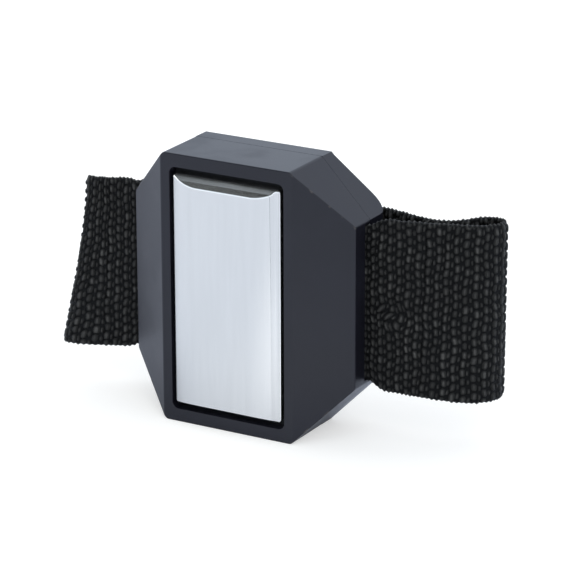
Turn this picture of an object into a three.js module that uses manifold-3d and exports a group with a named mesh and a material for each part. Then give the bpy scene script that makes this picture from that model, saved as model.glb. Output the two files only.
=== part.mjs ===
// A magnetic wristband: a moulded two-part housing with a steel face over three magnets, worn on a
// flat woven strap that passes through the housing and closes on itself behind the wrist.
//
// Millimetres, +Z up. The housing stands on its lower end, its steel face looks along -Y and the
// strap runs along X. The origin is the centre of the housing's lower end face. Inside this file
// every piece is drawn with y counted back from the housing's front face and z from mid-height,
// and one group at the end moves them all to that origin.

import * as THREE from 'three';
import { mergeVertices } from 'three/addons/utils/BufferGeometryUtils.js';
import Module from 'manifold-3d';

const wasm = await Module();
wasm.setup();

// Driving dimensions.

const clearance = 0.3; // between pieces that lie on each other
const overrun = 1; // how far a cut runs past the face that it opens

const facePlate = {
  width: 27.2,
  height: 53.1,
  cornerRadius: 0.9,
  thickness: 0.8,
  proud: 1.5, // in front of the housing's face
  skirt: 4.1, // from the plate's front to its rim
  endBevel: 2.2,
};

// The pressed long edges of the plate: in from the edge, back from its front, corner radius.
const crownStart = [5, 0, 14];
const crownEnd = [2.2, 0.75, 1];
const seatStart = [1.4, 1.7, 0.5];
const seatEnd = [0, 1.8, 0.2];

// The dark moat between the plate and the window, and the housing's face round it.
const faceWindow = { sideGap: 0.75, endGap: 1.4, sideRim: 2.15, endRim: 3.05, cornerRadius: 1.5 };

const strap = {
  width: 38.6,
  thickness: 1.6,
  gather: 3.2, // how much narrower it is where it passes the slot
  rootReach: 0.9, // from the housing's side to where the strap is free to swing
  levels: 4, // facets across its width
  steps: 40, // facets along each length
};

const housing = {
  bevelRun: 11.3, // of the side bevels, across
  cornerCut: 0.6, // taken off each corner of the front flat by the corner chamfers
  bevelDepth: 7.5, // of the side bevels, back
  slotRim: 0.5, // left above and below each strap slot on the side faces
  partingDepth: 13.9, // where the front shell meets the rear cover
  coverDepth: 4.4, // from there to the flat back
  wingSweep: 4.3, // from there to the sharp corner that the swept wings would end in
  wingRadius: 2.6,
  edgeRadius: 0.8,
  wall: 1.8,
  faceWall: 2.6, // behind the front flat, round the window
  coverFloor: 2.2,
};

const carrier = {
  brimOverlap: 1, // how far the brim reaches behind the window's edge
  brimThickness: 1.5,
  frameDepth: 1.6,
  endWall: 1,
  web: 1, // between two magnets
  cornerRadius: 1,
};

const magnet = { count: 3 };

const yoke = { thickness: 1.5, inset: 0.4, cornerRadius: 1 };

const pad = { sideMargin: 2.4, endMargin: 0.7, cornerRadius: 2 };

const screw = {
  shankRadius: 1.1,
  headRadius: 2.2,
  headHeight: 1.3,
  headEdge: 0.4,
  length: 8,
  tip: 0.9,
  sideMargin: 1.2, // from its seat to the edge of the flat back
  recess: 2.1, // of the counterbore in the cover
  bossRadius: 2.5,
  bossBite: 0.8, // how far a boss sinks into the end wall
};

const bayWall = 1.5; // the two walls that flank the magnets

const grip = { thickness: 1.2, innerX: 6.5, outerX: 20, endMargin: 1.2 };

const locatingLip = { bossGap: 1.4, thickness: 1.2, reach: 1.4 };

const rightLoop = { reach: 26.8, depth: 13.8, drop: 0.6 };

const leftLoop = { reach: 21.4, depth: 3.2, drop: 3 };

const closure = {
  standOff: 4.8, // from the flat back to the inner layer
  innerEnd: 4, // how far the inner layer passes the middle
  innerBend: 21, // where it leaves its straight run
  outerStart: 0.4, // how far the outer layer's straight run starts before the middle
  tabLength: 24.4,
  patchThickness: 1.2,
  patchMargin: 2.3, // from a patch's long edges to the strap's
  loopInset: 1.5, // of the loop patch from the inner layer's end
  loopLength: 25,
  hookInset: 1, // of the hook patch from the tab's root
  tabMargin: 2.4, // of bare strap at the tab's tip, to take hold of
  drop: 0.6, // below mid-height
};

// Routes of the strap's two edges in plan, from the housing outwards: how far along the loop's
// reach, how far along its depth, and how far along its drop each point lies.
const rightUpperShares = [
  [0, 0, 0],
  [0.12, 0.035, 0],
  [0.27, 0.1, 0],
  [0.47, 0.21, 0],
  [0.63, 0.32, 0],
  [0.79, 0.44, 0.1],
  [0.9, 0.6, 0.3],
  [0.955, 0.81, 0.6],
  [0.93, 1.01, 0.8],
  [0.84, 1.08, 0.9],
];
const rightLowerShares = [
  [0, 0, 0],
  [0.12, -0.01, 0],
  [0.27, -0.015, 0],
  [0.43, -0.015, 0],
  [0.6, 0.015, 0],
  [0.78, 0.07, 0],
  [0.91, 0.2, 0.1],
  [0.99, 0.42, 0.3],
  [1, 0.66, 0.6],
  [0.95, 0.89, 0.8],
  [0.86, 1.04, 0.9],
];
const leftUpperShares = [
  [0, 0, 0],
  [0.15, -0.03, 0.1],
  [0.43, -0.16, 0.3],
  [0.62, -0.22, 0.45],
  [0.71, -0.14, 0.5],
  [0.75, 0.19, 0.6],
  [0.71, 0.56, 0.7],
];
const leftLowerShares = [
  [0, 0, 0],
  [0.15, -0.15, 0.25],
  [0.45, -0.5, 0.55],
  [0.81, -0.75, 0.8],
  [0.955, -0.68, 0.85],
  [1, -0.31, 0.9],
  [0.95, 0.12, 0.95],
  [0.79, 0.56, 1],
];

// Where each loop ends and its tail begins: shares of the loop's reach and depth, and the
// heading there in degrees, anticlockwise from +X.
const rightSeamShares = [0.74, 1];
const leftSeamShares = [0.6, 1];
const rightSeamHeading = 225;
const leftSeamHeading = 33;
const seamStraight = 1.1; // run on each side of such a seam that keeps its heading

// How much of a loop's drop is left where its tail passes the wing's corner.
const rightCornerDropShare = 1;
const leftCornerDropShare = 0.5;

// The tails between the loop's seam and the wing's corner: shares of that run in x, of the
// difference in depth, and of the drop that is still left.
const rightTailShares = [
  [0.14, 1.03, 1],
  [0.27, 1.55, 1],
  [0.43, 1.6, 1],
  [0.6, 1.45, 1],
  [0.76, 1.22, 1],
  [0.88, 1.08, 1],
];
const leftTailShares = [
  [0.34, 0.42, 0.95],
  [0.62, 0.76, 0.85],
  [0.84, 0.93, 0.7],
];
const outerRiseShares = [
  [0.3, 0.18],
  [0.57, 0.52],
  [0.8, 0.86],
];

// Sizes that follow from the ones above.

const windowWidth = facePlate.width + 2 * faceWindow.sideGap;
const windowHeight = facePlate.height + 2 * faceWindow.endGap;
const faceHalf = windowWidth / 2 + faceWindow.sideRim;
const halfHeight = windowHeight / 2 + faceWindow.endRim;
const endHalf = faceHalf - housing.cornerCut;
const halfWidth = faceHalf + housing.bevelRun;
const slotWidth = strap.width - strap.gather;
const slotHalf = slotWidth / 2 + clearance;
const sideHalf = slotHalf + housing.slotRim;
const centreDepth = housing.partingDepth + housing.coverDepth;
const wingDepth = centreDepth + housing.wingSweep;
const wingSlope = housing.wingSweep / housing.bevelRun;
const wingCentreX = halfWidth - housing.wingRadius;
const wingCentreY = wingDepth - housing.wingRadius * (wingSlope + Math.hypot(1, wingSlope));
const wingCrest = wingCentreY + housing.wingRadius;

const strapBack = housing.partingDepth - clearance;
const strapFront = strapBack - strap.thickness;
const strapMiddle = strapFront + strap.thickness / 2;
const rootX = halfWidth + strap.rootReach;

const plateInside = facePlate.thickness - facePlate.proud;
const plateRim = facePlate.skirt - facePlate.proud;
const plinthFront = plateInside + clearance;
const brimFront = plateRim + clearance;
const brimBack = brimFront + carrier.brimThickness;
const brimWidth = windowWidth + 2 * carrier.brimOverlap;
const frameBack = brimBack + carrier.frameDepth;
const frameWidth = facePlate.width - 2 * (facePlate.thickness + clearance);
const frameHeight = facePlate.height - 2 * (facePlate.endBevel + facePlate.thickness);
const [crownRun, , crownRadius] = crownStart;
const crownTurn = Math.atan2(crownEnd[1], crownRun - crownEnd[0]);
const crownTangent = crownRadius * Math.tan(crownTurn / 2);
const pocketWidth = facePlate.width - 2 * (crownRun + crownTangent);
const websAndWalls = 2 * carrier.endWall + (magnet.count - 1) * carrier.web;
const pocketHeight = (frameHeight - websAndWalls) / magnet.count;
const yokeFront = frameBack + clearance;
const padFront = yokeFront + yoke.thickness + clearance;
const padBack = strapFront - clearance;
const coverFront = housing.partingDepth + clearance;
const screwPlaceX = faceHalf - screw.sideMargin - screw.headRadius - clearance;
const screwPlaceZ = halfHeight - housing.wall - screw.bossRadius + screw.bossBite;

const innerLayerY = centreDepth + closure.standOff + strap.thickness / 2;
const loopPatchFront = innerLayerY + strap.thickness / 2 + clearance;
const hookPatchFront = loopPatchFront + closure.patchThickness + clearance;
const outerLayerY = hookPatchFront + closure.patchThickness + clearance + strap.thickness / 2;
const patchWidth = strap.width - 2 * closure.patchMargin;
const cornerLayerY = wingCrest + clearance + strap.thickness / 2;

// Materials.

const finishes = {
  mouldedBlack: new THREE.MeshStandardMaterial({ color: 0x35363c, roughness: 0.5, metalness: 0 }),
  innerBlack: new THREE.MeshStandardMaterial({ color: 0x1b1b1e, roughness: 0.6, metalness: 0 }),
  brushedSteel: new THREE.MeshStandardMaterial({ color: 0xd2d8e2, roughness: 0.3, metalness: 1 }),
  platedMagnet: new THREE.MeshStandardMaterial({ color: 0x9a9ba0, roughness: 0.35, metalness: 1 }),
  zincSteel: new THREE.MeshStandardMaterial({ color: 0xa8aab0, roughness: 0.4, metalness: 1 }),
  foam: new THREE.MeshStandardMaterial({ color: 0x2a2b2e, roughness: 0.95, metalness: 0 }),
  blackWebbing: new THREE.MeshStandardMaterial({ color: 0x1c1c1e, roughness: 0.9, metalness: 0 }),
  hookTape: new THREE.MeshStandardMaterial({ color: 0x161618, roughness: 0.8, metalness: 0 }),
  loopTape: new THREE.MeshStandardMaterial({ color: 0x1a1a1c, roughness: 1, metalness: 0 }),
};

// Solids from three.js geometry, and back.

const arcSteps = 3;
const turnSteps = 20;
const weldTolerance = 1e-4;

/** A closed solid from a geometry, its coincident vertices merged. */
function solidOf(geometry) {
  const bare = geometry.clone();
  bare.deleteAttribute('normal');
  bare.deleteAttribute('uv');
  const merged = mergeVertices(bare, weldTolerance);
  const mesh = new wasm.Mesh({
    numProp: 3,
    vertProperties: new Float32Array(merged.attributes.position.array),
    triVerts: new Uint32Array(merged.index.array),
  });
  return new wasm.Manifold(mesh);
}

/** The named mesh of a solid. */
function piece(name, solid, material) {
  const data = solid.getMesh();
  const geometry = new THREE.BufferGeometry();
  geometry.setAttribute('position', new THREE.BufferAttribute(data.vertProperties, 3));
  geometry.setIndex(new THREE.BufferAttribute(data.triVerts, 1));
  geometry.computeVertexNormals();
  const mesh = new THREE.Mesh(geometry, material);
  mesh.name = name;
  return mesh;
}

/** A closed outline through corners [x, y, radius], anticlockwise, each rounded by its radius. */
function roundedOutline(corners) {
  const shape = new THREE.Shape();
  corners.forEach(([x, y, radius], index) => {
    const [beforeX, beforeY] = corners.at(index - 1);
    const [afterX, afterY] = corners[(index + 1) % corners.length];
    const corner = new THREE.Vector2(x, y);
    const toBefore = new THREE.Vector2(beforeX, beforeY).sub(corner).normalize();
    const toAfter = new THREE.Vector2(afterX, afterY).sub(corner).normalize();
    const halfAngle = toBefore.angleTo(toAfter) / 2;
    const run = radius / Math.tan(halfAngle);
    const start = corner.clone().addScaledVector(toBefore, run);
    const end = corner.clone().addScaledVector(toAfter, run);
    if (index === 0) shape.moveTo(start.x, start.y);
    else shape.lineTo(start.x, start.y);
    if (radius > 0) {
      const inward = toBefore.clone().add(toAfter).normalize();
      const centre = corner.clone().addScaledVector(inward, radius / Math.sin(halfAngle));
      const from = start.clone().sub(centre).angle();
      const to = end.clone().sub(centre).angle();
      const clockwise = toAfter.cross(toBefore) < 0;
      shape.absarc(centre.x, centre.y, radius, from, to, clockwise);
    }
  });
  shape.closePath();
  return shape;
}

/** The corners of an outline moved inwards by a distance, with what is left of their radii. */
function insetCorners(corners, distance) {
  return corners.map(([x, y, radius], index) => {
    const [beforeX, beforeY] = corners.at(index - 1);
    const [afterX, afterY] = corners[(index + 1) % corners.length];
    const incoming = new THREE.Vector2(x - beforeX, y - beforeY).normalize();
    const outgoing = new THREE.Vector2(afterX - x, afterY - y).normalize();
    const halfTurn = Math.atan2(incoming.cross(outgoing), incoming.dot(outgoing)) / 2;
    const inward = incoming.clone().add(outgoing).normalize();
    const reach = distance / Math.cos(halfTurn);
    return [x - inward.y * reach, y + inward.x * reach, Math.max(radius - distance, 0)];
  });
}

/** The corners of an upright rectangle about the middle. */
function rectangleCorners(width, height, radius) {
  return [
    [-width / 2, -height / 2, radius],
    [width / 2, -height / 2, radius],
    [width / 2, height / 2, radius],
    [-width / 2, height / 2, radius],
  ];
}

/** A prism whose outline's x and y run along the first two axes, from low to high on the third. */
function prism(corners, acrossAxis, upAxis, alongAxis, low, high) {
  const options = { depth: high - low, bevelEnabled: false, curveSegments: arcSteps };
  const geometry = new THREE.ExtrudeGeometry(roundedOutline(corners), options);
  geometry.translate(0, 0, low);
  geometry.applyMatrix4(new THREE.Matrix4().makeBasis(acrossAxis, upAxis, alongAxis));
  return solidOf(geometry);
}

const axisX = new THREE.Vector3(1, 0, 0);
const axisY = new THREE.Vector3(0, 1, 0);
const axisZ = new THREE.Vector3(0, 0, 1);
const towardsFront = new THREE.Vector3(0, -1, 0);

/** A prism along y between two depths, its outline drawn as seen from the front. */
function prismAlongY(corners, near, far) {
  return prism(corners, axisX, axisZ, towardsFront, -far, -near);
}

/** A prism along z, its outline drawn in plan. */
function prismAlongZ(corners, low, high) {
  return prism(corners, axisX, axisY, axisZ, low, high);
}

/** A prism along x, its outline drawn in depth and height. */
function prismAlongX(corners, low, high) {
  return prism(corners, axisY, axisZ, axisX, low, high);
}

/** A plain block between two corners. */
function block(low, high) {
  const size = new THREE.Vector3().subVectors(high, low);
  const geometry = new THREE.BoxGeometry(size.x, size.y, size.z);
  geometry.translate((low.x + high.x) / 2, (low.y + high.y) / 2, (low.z + high.z) / 2);
  return solidOf(geometry);
}

/** A round bar along y between two depths. */
function barAlongY(x, z, radius, near, far) {
  const geometry = new THREE.CylinderGeometry(radius, radius, far - near, turnSteps);
  geometry.translate(x, (near + far) / 2, z);
  return solidOf(geometry);
}

/** Calls make for both signs and gives the two results. */
function bothSides(make) {
  return [-1, 1].map(make);
}

/** One solid from several. */
function joined(solids) {
  return solids.reduce((whole, solid) => whole.add(solid));
}

// The housing.

const frontCorners = [
  [-endHalf, -halfHeight, housing.edgeRadius],
  [endHalf, -halfHeight, housing.edgeRadius],
  [halfWidth, -sideHalf, housing.edgeRadius],
  [halfWidth, sideHalf, housing.edgeRadius],
  [endHalf, halfHeight, housing.edgeRadius],
  [-endHalf, halfHeight, housing.edgeRadius],
  [-halfWidth, sideHalf, housing.edgeRadius],
  [-halfWidth, -sideHalf, housing.edgeRadius],
];

const planCorners = [
  [-faceHalf, 0, housing.edgeRadius],
  [faceHalf, 0, housing.edgeRadius],
  [halfWidth, housing.bevelDepth, housing.edgeRadius],
  [halfWidth, wingDepth, housing.wingRadius],
  [faceHalf, centreDepth, 0],
  [-faceHalf, centreDepth, 0],
  [-halfWidth, wingDepth, housing.wingRadius],
  [-halfWidth, housing.bevelDepth, housing.edgeRadius],
];

/** The housing's filled outer form between two depths, with its front edges rounded. */
function housingForm(near, far) {
  const sideCorners = [
    [0, -halfHeight, housing.edgeRadius],
    [wingDepth + overrun, -halfHeight, 0],
    [wingDepth + overrun, halfHeight, 0],
    [0, halfHeight, housing.edgeRadius],
  ];
  return prismAlongY(frontCorners, near, far)
    .intersect(prismAlongZ(planCorners, -halfHeight - overrun, halfHeight + overrun))
    .intersect(prismAlongX(sideCorners, -halfWidth - overrun, halfWidth + overrun));
}

/** The space left inside the housing between two depths by its walls and a floor. */
function housingHollow(near, far, floor) {
  return prismAlongY(insetCorners(frontCorners, housing.wall), near, far)
    .intersect(prismAlongZ(insetCorners(planCorners, floor), -halfHeight, halfHeight));
}

/** Calls make with the place of each of the four cover screws. */
function atScrews(make) {
  const places = [];
  for (const sideX of [-1, 1]) {
    for (const sideZ of [-1, 1]) places.push([sideX * screwPlaceX, sideZ * screwPlaceZ]);
  }
  return places.map(([x, z], index) => make(x, z, index));
}

/** The front shell: bevelled face with its window, magnet bay, screw bosses and strap slots. */
function frontShell() {
  const form = housingForm(0, housing.partingDepth);
  const windowCorners = rectangleCorners(windowWidth, windowHeight, faceWindow.cornerRadius);
  const windowCut = prismAlongY(windowCorners, -overrun, housing.faceWall + overrun);
  const hollow = housingHollow(housing.faceWall, housing.partingDepth + overrun, housing.wall);
  const bayHalf = brimWidth / 2 + clearance;
  const bayWalls = bothSides((side) => {
    const inner = side * bayHalf;
    const outer = side * (bayHalf + bayWall);
    const low = new THREE.Vector3(Math.min(inner, outer), housing.wall, -halfHeight);
    const high = new THREE.Vector3(Math.max(inner, outer), padBack, halfHeight);
    return block(low, high).intersect(form);
  });
  const bosses = atScrews((x, z) => {
    const bossFront = brimBack + clearance;
    return barAlongY(x, z, screw.bossRadius, bossFront, housing.partingDepth);
  });
  const pilots = atScrews((x, z) => {
    const pilotRadius = screw.shankRadius + clearance;
    const pilotEnd = centreDepth - screw.recess - screw.length - clearance;
    return barAlongY(x, z, pilotRadius, pilotEnd, housing.partingDepth + overrun);
  });
  const slots = bothSides((side) => {
    const inner = side * (halfWidth - housing.wall - overrun);
    const outer = side * (halfWidth + overrun);
    const low = new THREE.Vector3(Math.min(inner, outer), strapFront - clearance, -slotHalf);
    const high = new THREE.Vector3(Math.max(inner, outer), housing.partingDepth + overrun, slotHalf);
    return block(low, high);
  });
  return form
    .subtract(windowCut)
    .subtract(hollow)
    .add(joined(bayWalls))
    .add(joined(bosses))
    .subtract(joined(pilots))
    .subtract(joined(slots));
}

/** The rear cover: swept wings that hug the wrist, grip ribs, locating lips and screw seats. */
function rearCover() {
  const deep = wingDepth + overrun;
  const form = housingForm(coverFront, deep);
  const hollow = housingHollow(coverFront - overrun, deep, housing.coverFloor);
  const gripPlaces = [-grip.outerX, -grip.innerX, grip.innerX, grip.outerX];
  const grips = gripPlaces.map((x) => {
    const gripHalf = slotWidth / 2 - grip.endMargin;
    const low = new THREE.Vector3(x - grip.thickness / 2, coverFront, -gripHalf);
    const high = new THREE.Vector3(x + grip.thickness / 2, deep, gripHalf);
    return block(low, high).intersect(form);
  });
  const tubes = atScrews((x, z) => {
    return barAlongY(x, z, screw.bossRadius, coverFront, deep).intersect(form);
  });
  const lips = bothSides((side) => {
    const outer = side * (halfHeight - housing.wall - clearance);
    const inner = outer - side * locatingLip.thickness;
    const lipFront = housing.partingDepth - locatingLip.reach;
    const lipBack = centreDepth - housing.coverFloor / 2;
    const lipHalf = screwPlaceX - screw.bossRadius - locatingLip.bossGap;
    const low = new THREE.Vector3(-lipHalf, lipFront, Math.min(inner, outer));
    const high = new THREE.Vector3(lipHalf, lipBack, Math.max(inner, outer));
    return block(low, high);
  });
  const seatDepth = centreDepth - screw.recess;
  const holes = atScrews((x, z) => {
    const hole = barAlongY(x, z, screw.shankRadius + clearance, coverFront - overrun, deep);
    return hole.add(barAlongY(x, z, screw.headRadius + clearance, seatDepth, deep));
  });
  return form
    .subtract(hollow)
    .add(joined(grips))
    .add(joined(tubes))
    .add(joined(lips))
    .subtract(joined(holes));
}

/** A cover screw along y, its head towards the wrist. */
function coverScrew(x, z) {
  const seat = centreDepth - screw.recess + clearance;
  const profile = [
    [0, seat - screw.length],
    [screw.shankRadius, seat - screw.length + screw.tip],
    [screw.shankRadius, seat],
    [screw.headRadius, seat],
    [screw.headRadius, seat + screw.headHeight - screw.headEdge],
    [screw.headRadius - screw.headEdge, seat + screw.headHeight],
    [0, seat + screw.headHeight],
  ].map(([radius, y]) => new THREE.Vector2(radius, y));
  const geometry = new THREE.LatheGeometry(profile, turnSteps);
  geometry.translate(x, 0, z);
  return solidOf(geometry);
}

// The steel face and what lies behind it.

/** Makes a corner of the pressed long edge on one side, -1 for the left and 1 for the right. */
function edgeCorner(side) {
  return ([run, fall, radius]) => [
    side * (facePlate.width / 2 - run),
    fall - facePlate.proud,
    radius,
  ];
}

/** The filled form of the steel cap, moved inwards by an inset. */
function plateForm(inset) {
  const front = inset - facePlate.proud;
  const back = inset > 0 ? plateRim + overrun : plateRim;
  const halfPlate = facePlate.width / 2;
  const halfLength = facePlate.height / 2;
  const frontView = rectangleCorners(facePlate.width, facePlate.height, facePlate.cornerRadius);
  const planView = [
    ...[seatEnd, seatStart, crownEnd, crownStart].map(edgeCorner(-1)),
    ...[crownStart, crownEnd, seatStart, seatEnd].map(edgeCorner(1)),
    [halfPlate, plateRim + 2 * overrun, 0],
    [-halfPlate, plateRim + 2 * overrun, 0],
  ];
  const sideView = [
    [-facePlate.proud, facePlate.endBevel - halfLength, 0],
    [facePlate.endBevel - facePlate.proud, -halfLength, 0],
    [plateRim + 2 * overrun, -halfLength, 0],
    [plateRim + 2 * overrun, halfLength, 0],
    [facePlate.endBevel - facePlate.proud, halfLength, 0],
    [-facePlate.proud, halfLength - facePlate.endBevel, 0],
  ];
  return prismAlongY(insetCorners(frontView, inset), front, back)
    .intersect(prismAlongZ(insetCorners(planView, inset), -halfLength, halfLength))
    .intersect(prismAlongX(insetCorners(sideView, inset), -halfPlate, halfPlate));
}

/** The drawn steel cap, with crowned long edges on narrow seats, and bevelled ends. */
function steelFace() {
  return plateForm(0).subtract(plateForm(facePlate.thickness));
}

/** The magnets' heights above the middle, from the lowest up. */
function magnetHeights() {
  const places = Array.from({ length: magnet.count }, (_, index) => index);
  const spacing = pocketHeight + carrier.web;
  return places.map((index) => (index - (magnet.count - 1) / 2) * spacing);
}

/** A rounded slab between two depths, about the middle. */
function slab(width, height, radius, near, far) {
  return prismAlongY(rectangleCorners(width, height, radius), near, far);
}

/** The moulded tray: plinth in the cap, brim behind the window, frame and magnet pockets. */
function magnetTray() {
  const plinthReach = slab(facePlate.width, frameHeight, carrier.cornerRadius, plinthFront, brimBack);
  const plinth = plateForm(facePlate.thickness + clearance).intersect(plinthReach);
  const brimHeight = 2 * (halfHeight - housing.wall - clearance);
  const tray = joined([
    plinth,
    slab(brimWidth, brimHeight, carrier.cornerRadius, brimFront, brimBack),
    slab(frameWidth, frameHeight, carrier.cornerRadius, brimFront, frameBack),
  ]);
  const pockets = magnetHeights().map((z) => {
    const low = new THREE.Vector3(-pocketWidth / 2, plinthFront - overrun, z - pocketHeight / 2);
    const high = new THREE.Vector3(pocketWidth / 2, frameBack + overrun, z + pocketHeight / 2);
    return block(low, high);
  });
  return tray.subtract(joined(pockets));
}

/** One magnet block in its pocket. */
function magnetBlock(z) {
  const halfX = pocketWidth / 2 - clearance;
  const halfZ = pocketHeight / 2 - clearance;
  const low = new THREE.Vector3(-halfX, plinthFront, z - halfZ);
  const high = new THREE.Vector3(halfX, frameBack, z + halfZ);
  return block(low, high);
}

/** The steel plate that closes the magnets' field behind the tray. */
function yokePlate() {
  const width = frameWidth - 2 * yoke.inset;
  const height = frameHeight - 2 * yoke.inset;
  return slab(width, height, yoke.cornerRadius, yokeFront, yokeFront + yoke.thickness);
}

/** The foam that fills the space between the yoke and the strap. */
function pressurePad() {
  const width = brimWidth - 2 * pad.sideMargin;
  const height = slotWidth - 2 * pad.endMargin;
  return slab(width, height, pad.cornerRadius, padFront, padBack);
}

// The strap.

/** A flat closed solid between a lower and an upper edge route, given the headings at its ends. */
function webbing(lowerPoints, upperPoints, firstHeading, lastHeading) {
  const lower = new THREE.CatmullRomCurve3(lowerPoints);
  const upper = new THREE.CatmullRomCurve3(upperPoints);
  const stations = strap.steps;
  const ringSize = 2 * (strap.levels + 1);
  const positions = [];
  const index = [];
  for (let station = 0; station <= stations; station += 1) {
    const along = station / stations;
    const lowerAcross = sideways(lower, along, firstHeading, lastHeading);
    const upperAcross = sideways(upper, along, firstHeading, lastHeading);
    for (let place = 0; place < ringSize; place += 1) {
      const onOuter = place <= strap.levels;
      const level = (onOuter ? place : ringSize - 1 - place) / strap.levels;
      const point = lower.getPoint(along).lerp(upper.getPoint(along), level);
      const across = lowerAcross.clone().lerp(upperAcross, level).normalize();
      point.addScaledVector(across, (onOuter ? -1 : 1) * strap.thickness / 2);
      positions.push(point.x, point.y, point.z);
    }
  }
  for (let station = 0; station < stations; station += 1) {
    for (let place = 0; place < ringSize; place += 1) {
      const here = station * ringSize + place;
      const beside = station * ringSize + ((place + 1) % ringSize);
      index.push(here, here + ringSize, beside + ringSize);
      index.push(here, beside + ringSize, beside);
    }
  }
  const last = stations * ringSize;
  for (let level = 0; level < strap.levels; level += 1) {
    const across = ringSize - 1 - level;
    index.push(level, level + 1, across - 1);
    index.push(level, across - 1, across);
    index.push(last + level, last + across - 1, last + level + 1);
    index.push(last + level, last + across, last + across - 1);
  }
  const geometry = new THREE.BufferGeometry();
  geometry.setAttribute('position', new THREE.Float32BufferAttribute(positions, 3));
  geometry.setIndex(index);
  return solidOf(geometry);
}

/** The level direction to the left of a route, from its heading or from the one set at its end. */
function sideways(route, along, firstHeading, lastHeading) {
  const heading = route.getTangent(along);
  if (along === 0) headingVector(firstHeading, heading);
  if (along === 1) headingVector(lastHeading, heading);
  return new THREE.Vector3(-heading.y, heading.x, 0).normalize();
}

/** A level unit vector at an angle in degrees from +X, written into target. */
function headingVector(degrees, target = new THREE.Vector3()) {
  const angle = THREE.MathUtils.degToRad(degrees);
  return target.set(Math.cos(angle), Math.sin(angle), 0);
}

/** One side of the ring: where it starts, how far it reaches, and its seam and tail. */
function ringSide(side, loop, seamShares, seamHeading, cornerDropShare) {
  const seamX = side * (rootX + seamShares[0] * loop.reach);
  const seamY = strapMiddle + seamShares[1] * loop.depth;
  return { side, loop, seamX, seamY, heading: headingVector(seamHeading), cornerDropShare };
}

const rightRing = ringSide(1, rightLoop, rightSeamShares, rightSeamHeading, rightCornerDropShare);
const leftRing = ringSide(-1, leftLoop, leftSeamShares, leftSeamHeading, leftCornerDropShare);

/** Points of one strap edge round a loop, ending in the straight run to the seam. */
function loopEdge(ring, shares, edge) {
  const points = shares.map(([alongShare, depthShare, dropShare], index) => {
    const half = index === 0 ? slotWidth / 2 : strap.width / 2;
    const x = ring.side * (rootX + alongShare * ring.loop.reach);
    const y = strapMiddle + depthShare * ring.loop.depth;
    return new THREE.Vector3(x, y, edge * half - dropShare * ring.loop.drop);
  });
  const seamZ = edge * strap.width / 2 - ring.loop.drop;
  const seam = new THREE.Vector3(ring.seamX, ring.seamY, seamZ);
  return [...points, seam.clone().addScaledVector(ring.heading, -seamStraight), seam];
}

/** Points of one strap edge from the seam to the wing's corner. */
function tailEdge(ring, shares, edge) {
  const half = edge * strap.width / 2;
  const seam = new THREE.Vector3(ring.seamX, ring.seamY, half - ring.loop.drop);
  const start = seam.clone().addScaledVector(ring.heading, clearance);
  const straight = start.clone().addScaledVector(ring.heading, seamStraight);
  const cornerX = ring.side * wingCentreX;
  const points = shares.map(([alongShare, depthShare, dropShare]) => {
    const x = THREE.MathUtils.lerp(ring.seamX, cornerX, alongShare);
    const y = THREE.MathUtils.lerp(ring.seamY, cornerLayerY, depthShare);
    const drop = THREE.MathUtils.lerp(closure.drop, ring.loop.drop, dropShare);
    return new THREE.Vector3(x, y, half - drop);
  });
  const cornerDrop = THREE.MathUtils.lerp(closure.drop, ring.loop.drop, ring.cornerDropShare);
  return [start, straight, ...points, new THREE.Vector3(cornerX, cornerLayerY, half - cornerDrop)];
}

/** The strap inside the housing, from slot to slot. */
function strapCore() {
  const reach = rootX - clearance;
  const low = new THREE.Vector3(-reach, strapFront, -slotWidth / 2);
  const high = new THREE.Vector3(reach, strapBack, slotWidth / 2);
  return block(low, high);
}

/** The right loop: out of the slot, round the fold and back to its seam. */
function rightBand() {
  const lower = loopEdge(rightRing, rightLowerShares, -1);
  const upper = loopEdge(rightRing, rightUpperShares, 1);
  return webbing(lower, upper, 0, rightSeamHeading);
}

/** The left loop, which sags a little and folds further out at its lower edge. */
function leftBand() {
  const lower = loopEdge(leftRing, leftLowerShares, -1);
  const upper = loopEdge(leftRing, leftUpperShares, 1);
  return webbing(lower, upper, 180, leftSeamHeading);
}

/** The right tail: behind the wing, then out over the inner layer to the root of the tab. */
function rightTail() {
  const edges = [-1, 1].map((edge) => {
    const half = edge * strap.width / 2;
    const rise = outerRiseShares.map(([alongShare, riseShare]) => {
      const x = THREE.MathUtils.lerp(wingCentreX, closure.outerStart, alongShare);
      const y = THREE.MathUtils.lerp(cornerLayerY, outerLayerY, riseShare);
      return new THREE.Vector3(x, y, half - closure.drop);
    });
    const end = new THREE.Vector3(-closure.outerStart, outerLayerY, half - closure.drop);
    const flat = new THREE.Vector3(closure.outerStart, outerLayerY, half - closure.drop);
    return [...tailEdge(rightRing, rightTailShares, edge), ...rise, flat, end];
  });
  return webbing(edges[0], edges[1], rightSeamHeading, 180);
}

/** The left tail: behind the wing, then straight on as the inner layer of the closure. */
function leftTail() {
  const edges = [-1, 1].map((edge) => {
    const half = edge * strap.width / 2;
    const bend = new THREE.Vector3(-closure.innerBend, innerLayerY, half - closure.drop);
    const middle = new THREE.Vector3(-closure.innerBend / 2, innerLayerY, half - closure.drop);
    const end = new THREE.Vector3(closure.innerEnd, innerLayerY, half - closure.drop);
    return [...tailEdge(leftRing, leftTailShares, edge), bend, middle, end];
  });
  return webbing(edges[0], edges[1], leftSeamHeading, 0);
}

/** A flat length of tape or strap in the closure, between two x and from one depth back. */
function closureStrip(lowX, highX, width, front, thickness) {
  const low = new THREE.Vector3(lowX, front, -width / 2 - closure.drop);
  const high = new THREE.Vector3(highX, front + thickness, width / 2 - closure.drop);
  return block(low, high);
}

/** The free end that is peeled to open the band. */
function peelTab() {
  const highX = -closure.outerStart - clearance;
  const front = outerLayerY - strap.thickness / 2;
  return closureStrip(highX - closure.tabLength, highX, strap.width, front, strap.thickness);
}

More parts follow.
